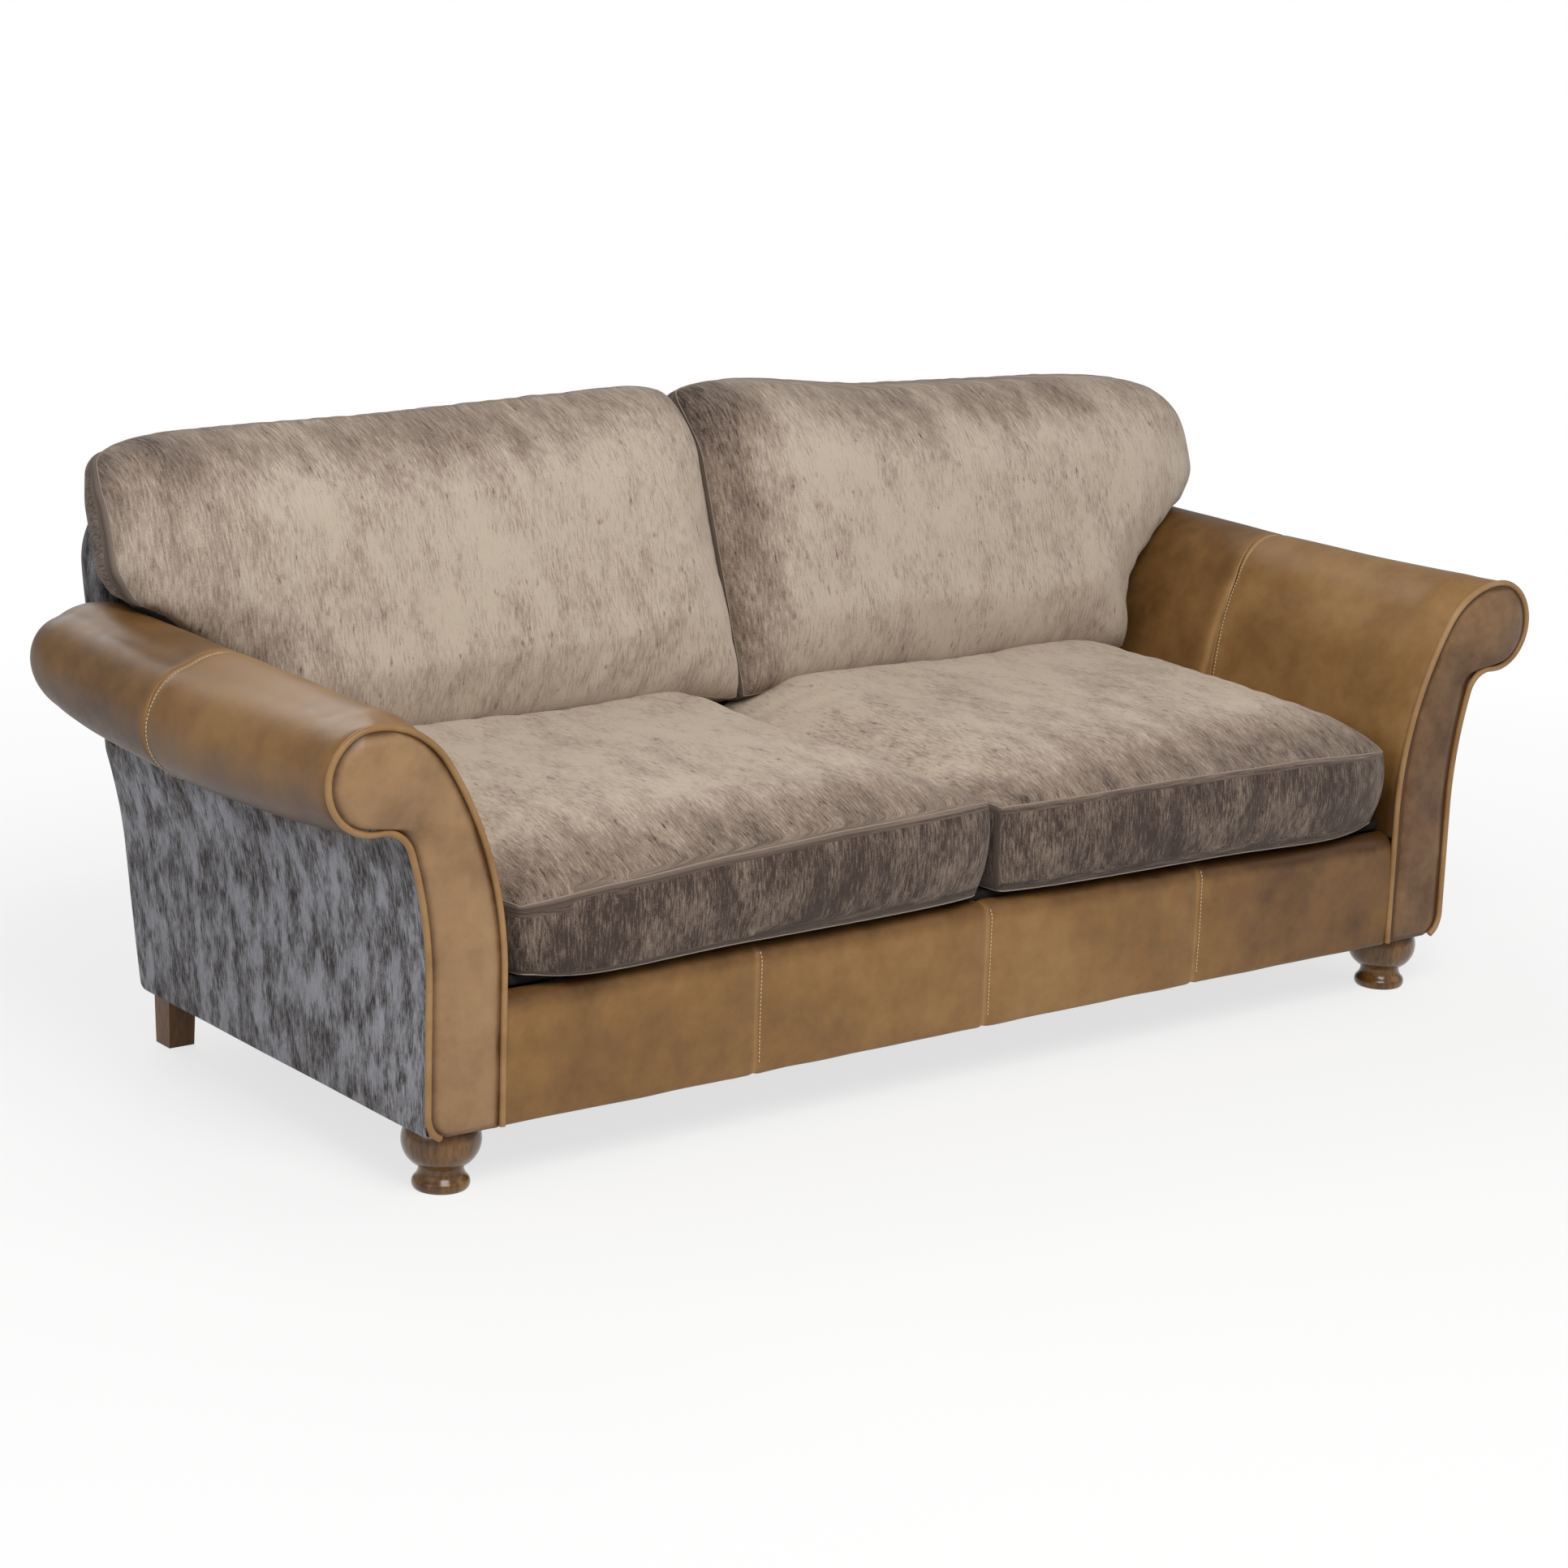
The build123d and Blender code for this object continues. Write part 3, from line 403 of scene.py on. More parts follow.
def arm_point(side, column, along, lift=0.0):
    """A point of the padded arm: along is 0 at the facing and 1 at the back."""
    x, z = section[column]
    angle = atan2(z - SCROLL[1], x - SCROLL[0])
    end = rear_face(z, END_DEPTH)
    y = COVER_FRONT + (end - COVER_FRONT) * along
    behind = y - COVER_FRONT
    run = along * PAD_STRETCH
    middle = sin(pi * run) ** 0.8 if run < 1 else 0.0
    under = smooth(BELLY_ANGLE - angle, 0.0, BELLY_TURN) if x > SCROLL[0] - 0.04 else 0.0
    push = (ARM_FULL + BELLY_OUT * under) * middle
    push -= EDGE_DIP * (1 - smooth(behind, 0.0, EDGE_RUN))
    ripple = noise.noise(Vector((x * 7, y * 9, z * 7 + 3 * side)))
    fine = noise.noise(Vector((column * 0.55, y * 26, 5.0 + side)))
    push += RIPPLE * ripple * middle + GATHER * fine * exp(-behind / GATHER_RUN)
    push -= SEAM_DIP * bell(y - CROSS_SEAM, SEAM_WIDTH)
    growth = 0.6 * smooth(behind, 0.0, SHOULDER_RUN) + 0.4 * smooth(along, 0.1, 0.5)
    push += shoulder(outward[column]) * growth + lift
    from_end = (end - y) / END_ROUND
    if from_end < 1:
        drawn_in = 1 - sqrt(max(0.0, 1 - (1 - from_end) ** 2))
        push -= END_DRAW * drawn_in * smooth(z, *END_BAND)
    x += outward[column].x * push
    z += outward[column].y * push
    z -= (TOP_DIP * smooth(z, *TOP_BAND) + BELLY_DOWN * under) * middle
    return Vector((side * x, y, z))


def arm_length(name, side, start, end):
    """One length of an arm's cover: painted shade low down and at the rear end, darker behind
    the seam, paler at the seam.
    """
    rows = []
    for i in range(ARM_ROWS + 1):
        along, row = start + (end - start) * i / ARM_ROWS, []
        for c, (x, z) in enumerate(section):
            point = arm_point(side, c, along)
            low = LOW_INSIDE if x < SCROLL[0] - 0.02 else LOW_OUTSIDE
            past = point.y - CROSS_SEAM
            # Painted shade low down and under the roll, and toward the roll's rear end.
            tone = LOW_PAINTED_SHADE * (1 - smooth(z, *low)) + END_PAINTED_SHADE * smooth(along, 0.8, 1.0)
            tone += REAR_TONE * smooth(past, 0.0, 0.03) + SEAM_TONE * bell(past, 0.006)
            row.append((point, tone))
        rows.append(row)
    return sheet_from(name, rows, arm_leather, flip=side < 0)


ARM_SPLIT = arm_share(CROSS_SEAM)
for side, word in SIDES:
    front_length = arm_length(f"arm_leather_front_{word}", side, 0.0, ARM_SPLIT)
    rear_length = arm_length(f"arm_leather_rear_{word}", side, ARM_SPLIT, 1.0)
    # The rear end is closed by a gathered cap.
    mesh = rear_length.data
    build = bmesh.new()
    build.from_mesh(mesh)
    build.verts.ensure_lookup_table()
    rim = [build.verts[ARM_ROWS * (ARM_COLUMNS + 1) + c] for c in range(ARM_COLUMNS + 1)]
    cap = build.faces.new(rim if side < 0 else rim[::-1])
    cap.smooth = True
    bmesh.ops.triangulate(build, faces=[cap])
    build.to_mesh(mesh)
    build.free()
    for piece, nodes in (
        (front_length, [f"arm_cover_front_{word}"]),
        (rear_length, [f"arm_cover_rear_{word}", f"arm_padding_{word}"]),
    ):
        rounded(piece, LEATHER)
        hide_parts(*nodes)
        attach(piece, "frame")

# The arm facings: shaped leather panels over a padded board, nailed to the arm's front. They
# are fullest in the round of the scroll, and sink into the welt at their edge.

facing_leather = waxed_leather(
    "rosy_facing_leather", (0.080, 0.034, 0.010), (0.305, 0.180, 0.086), (0.43, 0.275, 0.145),
)
FACING_ROWS, FACING_COLUMNS = 84, 28
FACING_INSET, FACING_BACK = 0.0065, 0.005
FACING_PUFF, FACING_SLOPE, FACING_RIPPLE = 0.006, 0.022, 0.0012
SCROLL_PUFF, SCROLL_DOME, DOME_SHIFT = 0.013, 0.092, 0.006
NECK_X, NECK_WIDE, NECK_Z, NECK_TALL, NECK_DIP = 0.965, 0.05, 0.50, 0.03, 0.004
# A tone on each whole facing, with painted shade on the right one, where less light falls.
FACING_TONE_AND_PAINTED_SHADE = {-1: 0.1, 1: 0.62}
# Painted shade also in the groove along a facing's edge and in the hollow neck under the scroll.
RIM_PAINTED_SHADE, RIM_WIDTH, NECK_PAINTED_SHADE = 0.75, 0.012, 0.25
FOOT_TALL, FOOT_DEEP = 0.036, 0.028
edge = [Vector(p) for p in arm_outline(FACING_INSET, FLOOR_GAP)]
crest = max(range(len(edge)), key=lambda i: edge[i].y)
inner_side, outer_side = edge[: crest + 1], edge[crest:][::-1]
crest_height = edge[crest].y


def crossing(points, height):
    """X where a rising line of points passes a height."""
    for a, b in zip(points, points[1:]):
        if a.y <= height <= b.y:
            return a.x + (b.x - a.x) * (height - a.y) / max(b.y - a.y, 1e-9)
    return points[-1].x


def foot_corner(height):
    """How far the rounded outer foot of a facing lies inside its straight edge."""
    share = min(1.0, max(0.0, height - FLOOR_GAP) / FOOT_TALL)
    return FOOT_DEEP * (1 - sqrt(1 - (1 - share) ** 2))


for side, word in SIDES:
    rows = []
    for r in range(FACING_ROWS + 1):
        rise = 1 - (1 - r / FACING_ROWS) ** 1.6
        height = FLOOR_GAP + (crest_height - FLOOR_GAP) * rise
        left = crossing(inner_side, height)
        right = crossing(outer_side, height) - foot_corner(height)
        above, below = height - FLOOR_GAP + 0.004, (crest_height - height) * 1.2
        row = []
        for c in range(FACING_COLUMNS + 1):
            x = left + (right - left) * (0.5 - 0.5 * cos(pi * c / FACING_COLUMNS))
            rim = min(x - left, right - x, above, below)
            away = hypot(x - SCROLL[0] + DOME_SHIFT, height - SCROLL[1])
            puff = SCROLL_PUFF * max(0.0, 1 - (away / SCROLL_DOME) ** 2) ** 2
            puff += FACING_PUFF * smooth(rim, 0.0, FACING_SLOPE)
            neck = bell(x - NECK_X, NECK_WIDE) * bell(height - NECK_Z, NECK_TALL)
            puff -= NECK_DIP * neck
            puff += FACING_RIPPLE * noise.noise(Vector((x * 16, height * 9, side * 2.0)))
            # Painted shade in the groove at the edge and in the hollow of the neck.
            tone = RIM_PAINTED_SHADE * (1 - smooth(rim, 0.0, RIM_WIDTH)) + NECK_PAINTED_SHADE * neck
            point = Vector((side * x, ARM_FRONT + FACING_BACK - puff, height))
            row.append((point, tone + FACING_TONE_AND_PAINTED_SHADE[side]))
        rows.append(row)
    facing = sheet_from(f"arm_facing_leather_{word}", rows, facing_leather, flip=side < 0)
    rounded(facing, LEATHER)
    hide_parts(f"arm_facing_{word}")
    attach(facing, "frame")

# The welts: leather piping over a cord, sewn between each facing and the arm's cover. One run
# goes up the inside of the facing, round the scroll and down its outside.

WELT, WELT_INSET, WELT_BACK, WELT_STEPS = 0.0046, 0.0025, 0.0035, 260
welt_leather = waxed_leather(
    "welt_leather", (0.09, 0.038, 0.013), (0.285, 0.155, 0.058), (0.44, 0.28, 0.13),
)


def node_tree(name, inputs):
    """A new Geometry Nodes tree with named inputs, and its two end nodes."""
    tree = bpy.data.node_groups.new(name, "GeometryNodeTree")
    tree.interface.new_socket("Geometry", in_out="INPUT", socket_type="NodeSocketGeometry")
    for label, kind in inputs:
        tree.interface.new_socket(label, in_out="INPUT", socket_type=kind)
    tree.interface.new_socket("Geometry", in_out="OUTPUT", socket_type="NodeSocketGeometry")
    return tree, add(tree, "NodeGroupInput").outputs, add(tree, "NodeGroupOutput").inputs


def closed(tree, geometry, material, out):
    """The end of a tree: real geometry, all in one material."""
    real = add(tree, "GeometryNodeRealizeInstances", {"Geometry": geometry})
    values = {"Geometry": real.outputs["Geometry"], "Material": material}
    coloured = add(tree, "GeometryNodeSetMaterial", values)
    tree.links.new(coloured.outputs["Geometry"], out["Geometry"])


def grown(name, paths, tree, settings):
    """A plain mesh object made by a tree from lines of points."""
    points = [p for path in paths for p in path]
    edges, start = [], 0
    for path in paths:
        edges += [(start + i, start + i + 1) for i in range(len(path) - 1)]
        start += len(path)
    mesh = bpy.data.meshes.new(name)
    mesh.from_pydata([tuple(p) for p in points], edges, [])
    line = bpy.data.objects.new(name + "_line", mesh)
    bpy.context.scene.collection.objects.link(line)
    modifier = line.modifiers.new("grow", "NODES")
    modifier.node_group = tree
    for item in tree.interface.items_tree:
        if item.in_out == "INPUT" and item.name in settings:
            modifier[item.identifier] = settings[item.name]
    graph = bpy.context.evaluated_depsgraph_get()
    result = bpy.data.meshes.new_from_object(line.evaluated_get(graph), depsgraph=graph)
    bpy.data.objects.remove(line)
    result.shade_smooth()
    piece = bpy.data.objects.new(name, result)
    bpy.context.scene.collection.objects.link(piece)
    return piece


sockets = [("Radius", "NodeSocketFloat"), ("Cover", "NodeSocketMaterial")]
welt_tree, given, out = node_tree("welt", sockets)
curve = add(welt_tree, "GeometryNodeMeshToCurve", {"Mesh": given["Geometry"]}).outputs["Curve"]
ring = add(
    welt_tree, "GeometryNodeCurvePrimitiveCircle",
    {"Resolution": 10, "Radius": given["Radius"]}, mode="RADIUS",
)
swept = {"Curve": curve, "Profile Curve": ring.outputs["Curve"], "Fill Caps": True}
tube = add(welt_tree, "GeometryNodeCurveToMesh", swept).outputs["Mesh"]
closed(welt_tree, tube, given["Cover"], out)

run = spaced(arm_outline(WELT_INSET, FLOOR_GAP + 0.002), WELT_STEPS)
for side, word in SIDES:
    path = []
    for x, z in run:
        tuck = foot_corner(z) if x > SHELL_HALF - 0.02 else 0.0
        path.append(Vector((side * (x - tuck), ARM_FRONT + WELT_BACK, z)))
    welt = grown(f"arm_welt_{word}", [path], welt_tree, {"Radius": WELT, "Cover": welt_leather})
    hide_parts(f"arm_piping_{word}")
    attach(welt, "frame")

# The outside arms: mottled chenille pulled flat over the arm's outside, sewn under the roll,
# turned under at the bottom and wrapped round the rear corner on to the back.


def chenille(name, light, middle, dark, mottle=(84, 36), start=0.60, slub=1.1):
    """Crushed pile cloth: thin streaks along the pile, crushed patches, and a woven ground."""
    material, tree, shader = finish(
        name, Roughness=0.92, Specular_IOR_Level=0.15,
        Sheen_Weight=0.16, Sheen_Roughness=0.45, Sheen_Tint=(0.9, 0.86, 0.82, 1.0),
    )
    cloth = add(tree, "ShaderNodeUVMap", uv_map="cloth").outputs["UV"]

    def layer(across, along, detail, roughness):
        return speckle(tree, stretched(tree, cloth, (across, along, 1)), 1.0, detail, roughness)

    streaks = layer(330, 46, 4.0, 0.7)
    patches = layer(*mottle, 4.0, 0.62)
    clouds = layer(5.5, 4, 3.0, 0.5)
    crushed = layer(26, 11, 3.0, 0.6)
    pile = layer(900, 420, 2.0, 0.6)
    # The shade attribute brings each piece's tone and its painted shade into the colour.
    tone = add(tree, "ShaderNodeAttribute", attribute_name="shade").outputs["Fac"]
    for part, spread in ((clouds, 0.14), (streaks, 0.30), (crushed, 0.17), (pile, 0.13)):
        tone = sums(tree, "ADD", tone, swing(tree, part, spread))
    marks = level(tree, patches, start, start + 0.2, 0.0, slub)
    marks = sums(tree, "MULTIPLY", marks, level(tree, streaks, 0.36, 0.66, 0.25, 0.85))
    tone = sums(tree, "ADD", tone, marks)
    tint(tree, shader, tone, [(0.0, light), (0.48, middle), (1.0, dark)])
    height = sums(tree, "ADD", streaks, sums(tree, "MULTIPLY", pile, 0.8))
    raised(tree, shader, height, 0.5, 0.0024)
    return material


# Mottled grey chenille; the blue cast of its pale colour is painted cool daylight.
outside_cloth = chenille(
    "grey_outside_chenille", (0.36, 0.36, 0.395), (0.165, 0.16, 0.168), (0.034, 0.029, 0.028),
    mottle=(36, 16), start=0.42, slub=1.15,
)
CLOTH = 0.004
PANEL_ROWS, PANEL_COLUMNS, WRAP_COLUMNS = 48, 76, 4
PANEL_TALL, PANEL_TOP, PANEL_FOOT = 0.45, 0.500, FLOOR_GAP + 0.004
PANEL_FRONT = ARM_FRONT + 0.0075
PANEL_SINK, PANEL_FULL, PANEL_SPAN, PANEL_RIPPLE = 0.001, 0.003, 0.38, 0.0018
CORNER, NARROWING = 0.060, 0.1
RIM_TUCK, TUCK_BAND = 0.008, (0.455, 0.466)
# How far in each row of the turned-under hem lies from the last, and how far below the foot.
TURN_UNDER, HEM = 0.008, (0.0, 0.002, 0.003, 0.003)
# The whole panel's tone, and painted shade under the roll and along the foot.
PANEL_TONE, ROLL_PAINTED_SHADE, ROLL_BAND = 0.16, 0.25, (0.40, 0.47)
FOOT_PAINTED_SHADE, FOOT_BAND = 0.12, (0.09, 0.16)
BACK_HALF = 0.948
WRAP_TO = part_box("outside_back_panel")[1][0] - 0.004
outer_wall = [Vector(p) for p in arm_outline(0.0, FLOOR_GAP)][::-1]
outer_wall = outer_wall[: next(i for i, p in enumerate(outer_wall) if p.y > PANEL_TOP + 0.02)]
for side, word in SIDES:
    rows = []
    for r in range(1 - len(HEM), PANEL_ROWS + 1):
        height = PANEL_FOOT + (PANEL_TOP - PANEL_FOOT) * max(0, r) / PANEL_ROWS
        turned = max(0, -r)
        turn, low = TURN_UNDER * turned, height - HEM[turned]
        x = crossing(outer_wall, height) - PANEL_SINK - turn
        rear = rear_face(height) - turn - PANEL_SINK
        near, turn_from = min(x, BACK_HALF - 0.001), rear - CORNER
        plan = []
        for c in range(PANEL_COLUMNS):
            py = PANEL_FRONT + (turn_from - PANEL_FRONT) * c / PANEL_COLUMNS
            plan.append((x + (near - x) * smooth(py, turn_from - NARROWING, turn_from), py))
        start = near - CORNER
        plan += arc((start, turn_from), CORNER, 0, 90, 12)
        for c in range(1, WRAP_COLUMNS + 1):
            plan.append((start + (WRAP_TO - start) * c / WRAP_COLUMNS, rear))
        # Painted shade under the roll and along the foot by the floor.
        tone = PANEL_TONE + ROLL_PAINTED_SHADE * smooth(height, *ROLL_BAND)
        tone += FOOT_PAINTED_SHADE * (1 - smooth(height, *FOOT_BAND))
        full = PANEL_FULL * sin(pi * min(1.0, max(0.0, (height - FLOOR_GAP) / PANEL_SPAN)))
        row = []
        for px, py in plan:
            ripple = noise.noise(Vector((px * 3, py * 5, height * 5 + side)))
            puff = full + PANEL_RIPPLE * ripple
            behind = smooth(py, turn_from, rear)
            px += puff * (1 - behind)
            py += puff * behind - RIM_TUCK * behind * smooth(height, *TUCK_BAND)
            row.append((Vector((side * px, py, low)), tone))
        rows.append(row)
    panel = sheet_from(f"outside_arm_{word}", rows, outside_cloth, flip=side < 0)
    rounded(panel, CLOTH)
    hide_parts(f"outside_arm_panel_{word}")
    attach(panel, "frame")

# The front border: four leather panels joined by top-stitched seams, drawn over padding on the
# front rail, rolled back over its top edge and tacked underneath.

BORDER_LOW, BORDER_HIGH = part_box("front_border")
BORDER_HALF, BORDER_BACK, BORDER_TOP = BORDER_HIGH
BORDER_FRONT = BORDER_LOW[1]
BORDER_ROWS, BORDER_COLUMNS = 46, 340
BORDER_ROUND, BORDER_HEM = 0.024, 0.006
BORDER_SINK, END_SINK = 0.008, 0.006
BORDER_PUFF, BORDER_SPAN, PUFF_RUN, BORDER_RIPPLE = 0.004, 0.19, 0.05, 0.0014
BORDER_DIP, DIP_WIDTH, PUCKER, PUCKER_RUN = 0.003, 0.004, 0.0008, 0.03
# Painted shade on the top edge, under the seat cushions, and at both ends, where less light
# falls.
BORDER_TOP_PAINTED_SHADE, LEFT_END_PAINTED_SHADE, RIGHT_END_PAINTED_SHADE = 0.55, 0.2, 0.4
BORDER_SEAMS = [-BORDER_HALF / 2, 0.0, BORDER_HALF / 2]
rise = [(BORDER_FRONT + 0.022, FLOOR_GAP - 0.001), (BORDER_FRONT + 0.008, FLOOR_GAP - 0.002)]
rise += arc((BORDER_FRONT + BORDER_HEM, FLOOR_GAP + 0.004), BORDER_HEM, 270, 180, 6)
rise += [(BORDER_FRONT, FLOOR_GAP + 0.02), (BORDER_FRONT, BORDER_TOP - BORDER_ROUND)]
top_roll = (BORDER_FRONT + BORDER_ROUND, BORDER_TOP - BORDER_ROUND)
rise += arc(top_roll, BORDER_ROUND, 180, 90, 10)
rise += [(BORDER_BACK, BORDER_TOP)]
profile = spaced(rise, BORDER_ROWS)
profile_out = [-n if n.x > 0.2 else n for n in normals(profile)]


def to_seam(x):
    """Distance across the border to its nearest seam."""
    return min(abs(x - seam) for seam in BORDER_SEAMS)


def border_point(x, row):
    """A point of the border, puffed between its seams."""
    y, z = profile[row]
    seam = to_seam(x)
    full = sin(pi * min(1.0, max(0.0, (z - FLOOR_GAP) / BORDER_SPAN)))
    puff = BORDER_PUFF * smooth(seam, 0.0, PUFF_RUN) * full - BORDER_DIP * bell(seam, DIP_WIDTH)
    puff += BORDER_RIPPLE * noise.noise(Vector((x * 13, z * 8, 4.0)))
    puff += PUCKER * noise.noise(Vector((x * 60, z * 14, 9.0))) * exp(-seam / PUCKER_RUN)
    n = profile_out[row]
    sink = BORDER_SINK + END_SINK * smooth(abs(x), 0.35, BORDER_HALF)
    sink *= smooth(z, BORDER_TOP - 0.09, BORDER_TOP - 0.01)
    return Vector((x, y + n.x * puff, z + n.y * puff - sink))


rows = []
for r, (y, z) in enumerate(profile):
    # Painted shade on the top edge and toward both ends; the seams are paler where stretched.
    top, row = BORDER_TOP_PAINTED_SHADE * smooth(z, BORDER_TOP - 0.035, BORDER_TOP - 0.004), []
    for c in range(BORDER_COLUMNS + 1):
        x = BORDER_HALF * (2 * c / BORDER_COLUMNS - 1)
        tone = top + (RIGHT_END_PAINTED_SHADE if x > 0 else LEFT_END_PAINTED_SHADE) * smooth(abs(x), 0.1, 0.8)
        row.append((border_point(x, r), tone + SEAM_TONE * bell(to_seam(x), DIP_WIDTH)))
    rows.append(row)
border = rounded(sheet_from("front_border_leather", rows, arm_leather), LEATHER)
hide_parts("front_border", "front_border_padding")
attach(border, "frame")

# The stitching on the leather: rows of pale waxed thread beside the border's seams and the
# arms' cross seams, all sewn before the covers are put on.

thread = fibrous(
    "pale_thread", 1400.0, (0.52, 0.38, 0.22), (0.70, 0.54, 0.36), 0.0004, Roughness=0.6,
)
STITCH = {"Pitch": 0.0056, "Length": 0.0046, "Width": 0.0019, "Thread": thread}
STITCH_LIFT, BESIDE_BORDER_SEAM, BESIDE_CROSS_SEAM = 0.0006, 0.006, 0.007
kinds = [(k, "NodeSocketMaterial" if k == "Thread" else "NodeSocketFloat") for k in STITCH]
stitch_tree, given, out = node_tree("stitch_row", kinds)
curve = add(stitch_tree, "GeometryNodeMeshToCurve", {"Mesh": given["Geometry"]})
pitch = {"Curve": curve.outputs["Curve"], "Length": given["Pitch"]}
resample = add(stitch_tree, "GeometryNodeResampleCurve", pitch, mode="LENGTH")
tangent = add(stitch_tree, "GeometryNodeInputTangent").outputs["Tangent"]
turn = add(stitch_tree, "FunctionNodeAlignRotationToVector", {"Vector": tangent}, axis="Z")
ball = add(stitch_tree, "GeometryNodeMeshUVSphere", {"Segments": 6, "Rings": 4, "Radius": 0.5})
size = {"X": given["Width"], "Y": given["Width"], "Z": given["Length"]}
scale = add(stitch_tree, "ShaderNodeCombineXYZ", size).outputs["Vector"]
drawn_out = {"Geometry": ball.outputs["Mesh"], "Scale": scale}
single = add(stitch_tree, "GeometryNodeTransform", drawn_out).outputs["Geometry"]
sown = {"Points": resample.outputs["Curve"], "Instance": single}
sown["Rotation"] = turn.outputs["Rotation"]
sewing = add(stitch_tree, "GeometryNodeInstanceOnPoints", sown).outputs["Instances"]
closed(stitch_tree, sewing, given["Thread"], out)

paths = []
for seam in BORDER_SEAMS:
    line = [border_point(seam + BESIDE_BORDER_SEAM, r) for r in range(8, len(profile) - 6)]
    paths.append([point - Vector((0, STITCH_LIFT, 0)) for point in line])
nearest = arm_share(CROSS_SEAM - BESIDE_CROSS_SEAM)
for side, word in SIDES:
    columns = range(4, ARM_COLUMNS - 2)
    paths.append([arm_point(side, c, nearest, STITCH_LIFT) for c in columns])
stitches = grown("leather_stitching", paths, stitch_tree, STITCH)
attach(stitches, "frame")

# The back: a leaning timber panel frame with an upholstered rim of chenille, rounded along its
# rear edge and top corners, and a flat outside back panel sewn in between.

BACK_RISE, BACK_CORNER = 0.720, 0.120
BACK_DEPTH, BACK_EDGE = 0.075, 0.040
BACK_TONE = 0.42
RIM_FROM = (0.452 - REAR_FOOT[0]) / cos(RAKE)
RIM_WAVE, SIDE_LIP, TOP_LIP = 0.001, 0.055, 0.033
SLOPE_UP = Vector((0, sin(RAKE), cos(RAKE)))
SLOPE_FORWARD = Vector((0, -cos(RAKE), sin(RAKE)))
BACK_FOOT = Vector((0, REAR_FOOT[1], REAR_FOOT[0]))


def raked(across, up, forward):
    """A point given across, up the slope and forward from the rear face of the back."""
    return BACK_FOOT + Vector((across, 0, 0)) + SLOPE_UP * up + SLOPE_FORWARD * forward


straight, top_run = BACK_RISE - BACK_CORNER, 2 * (BACK_HALF - BACK_CORNER)
rim_line = [(-BACK_HALF, RIM_FROM + (straight - RIM_FROM) * i / 12) for i in range(12)]
rim_line += arc((BACK_CORNER - BACK_HALF, straight), BACK_CORNER, 180, 90, 14)
rim_line += [(top_run * (i / 60 - 0.5), BACK_RISE) for i in range(1, 60)]
rim_line += [(-x, z) for x, z in rim_line[25::-1]]
rim_line = [Vector(p) for p in rim_line]
rim_out = normals(rim_line)
# The rim's section, as depths in from its edge and forward from the rear face.
lip = [(0.102, 0.007), (0.085, 0.006), (0.06, 0.001)]
lip += arc((BACK_EDGE, BACK_EDGE), BACK_EDGE, 270, 180, 10)
lip += [(0.0, 0.05), (0.0, 0.06), (0.003, 0.069), (0.010, 0.074)]
lip += [(0.03, BACK_DEPTH), (0.085, BACK_DEPTH)]
rows = []
for p, out in zip(rim_line, rim_out):
    row, reach = [], SIDE_LIP if abs(out.x) > 0.999 else TOP_LIP
    for inset, forward in [*lip, (lip[-1][0] + reach, BACK_DEPTH)]:
        across, up = p - out * inset
        wave = RIM_WAVE * noise.noise(Vector((across * 6, up * 6, forward * 10)))
        row.append((raked(across, up, forward) + Vector((0, wave, wave)), BACK_TONE))
    rows.append(row)
rim = rounded(sheet_from("back_rim", rows, outside_cloth), CLOTH)
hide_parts("back_cover")
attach(rim, "frame")

PANEL_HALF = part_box("outside_back_panel")[1][0] + 0.002
PANEL_RISE, PANEL_DROP, PANEL_ROUND = BACK_RISE - 0.054, 0.002, 0.06
BACK_ROWS, BACK_COLUMNS = 60, 120
BACK_PUFF, BACK_RIPPLE = 0.005, 0.0015
rows = []
for r in range(BACK_ROWS + 1):
    up = -PANEL_DROP + (PANEL_RISE + PANEL_DROP) * r / BACK_ROWS
    share = max(0.0, 1 - (PANEL_RISE - up) / PANEL_ROUND)
    half = PANEL_HALF - PANEL_ROUND * (1 - sqrt(max(0.0, 1 - share**2)))
    row = []
    for c in range(BACK_COLUMNS + 1):
        x = half * (2 * c / BACK_COLUMNS - 1)
        edge_gap = min(half - abs(x), PANEL_RISE - up, up + 0.01)
        puff = BACK_PUFF * smooth(edge_gap, 0.0, 0.05)
        puff += BACK_RIPPLE * noise.noise(Vector((x * 4, up * 4, 7.0)))
        row.append((raked(x, up, 0.001 - puff), BACK_TONE))
    rows.append(row)
back_panel = sheet_from("outside_back", rows, outside_cloth, flip=True)
rounded(back_panel, CLOTH)
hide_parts("outside_back_panel")
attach(back_panel, "frame")

# The seat platform, the wedge behind the back cushions and the dust cloth underneath: fibre
# pads in a plain black lining, and a black sheet stapled to the bottom of the rails.


def pad(name, low, high, bottom, top, soften):
    """A lined pad across a box, with its front and rear given at the bottom and at the top."""
    points = []
    for z, (front, rear) in ((low[2], bottom), (high[2], top)):
        for x, y in ((low[0], front), (high[0], front), (high[0], rear), (low[0], rear)):
            points.append(Vector((x, y, z)))
    faces = [(3, 2, 1, 0), (4, 5, 6, 7), (0, 1, 5, 4), (1, 2, 6, 5), (2, 3, 7, 6), (3, 0, 4, 7)]
    uv = [(p.x, p.y + p.z) for p in points]
    piece = piece_from(name, points, faces, lining, uv, [0.5] * len(points))
    round_edges = piece.modifiers.new("soft_edges", "BEVEL")
    round_edges.width, round_edges.segments = soften, 3
    return piece


low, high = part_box("seat_platform")
depth = (low[1], high[1])
platform = pad("seat_platform_pad", low, high, depth, depth, soften=0.005)
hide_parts("seat_platform")
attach(platform, "frame")

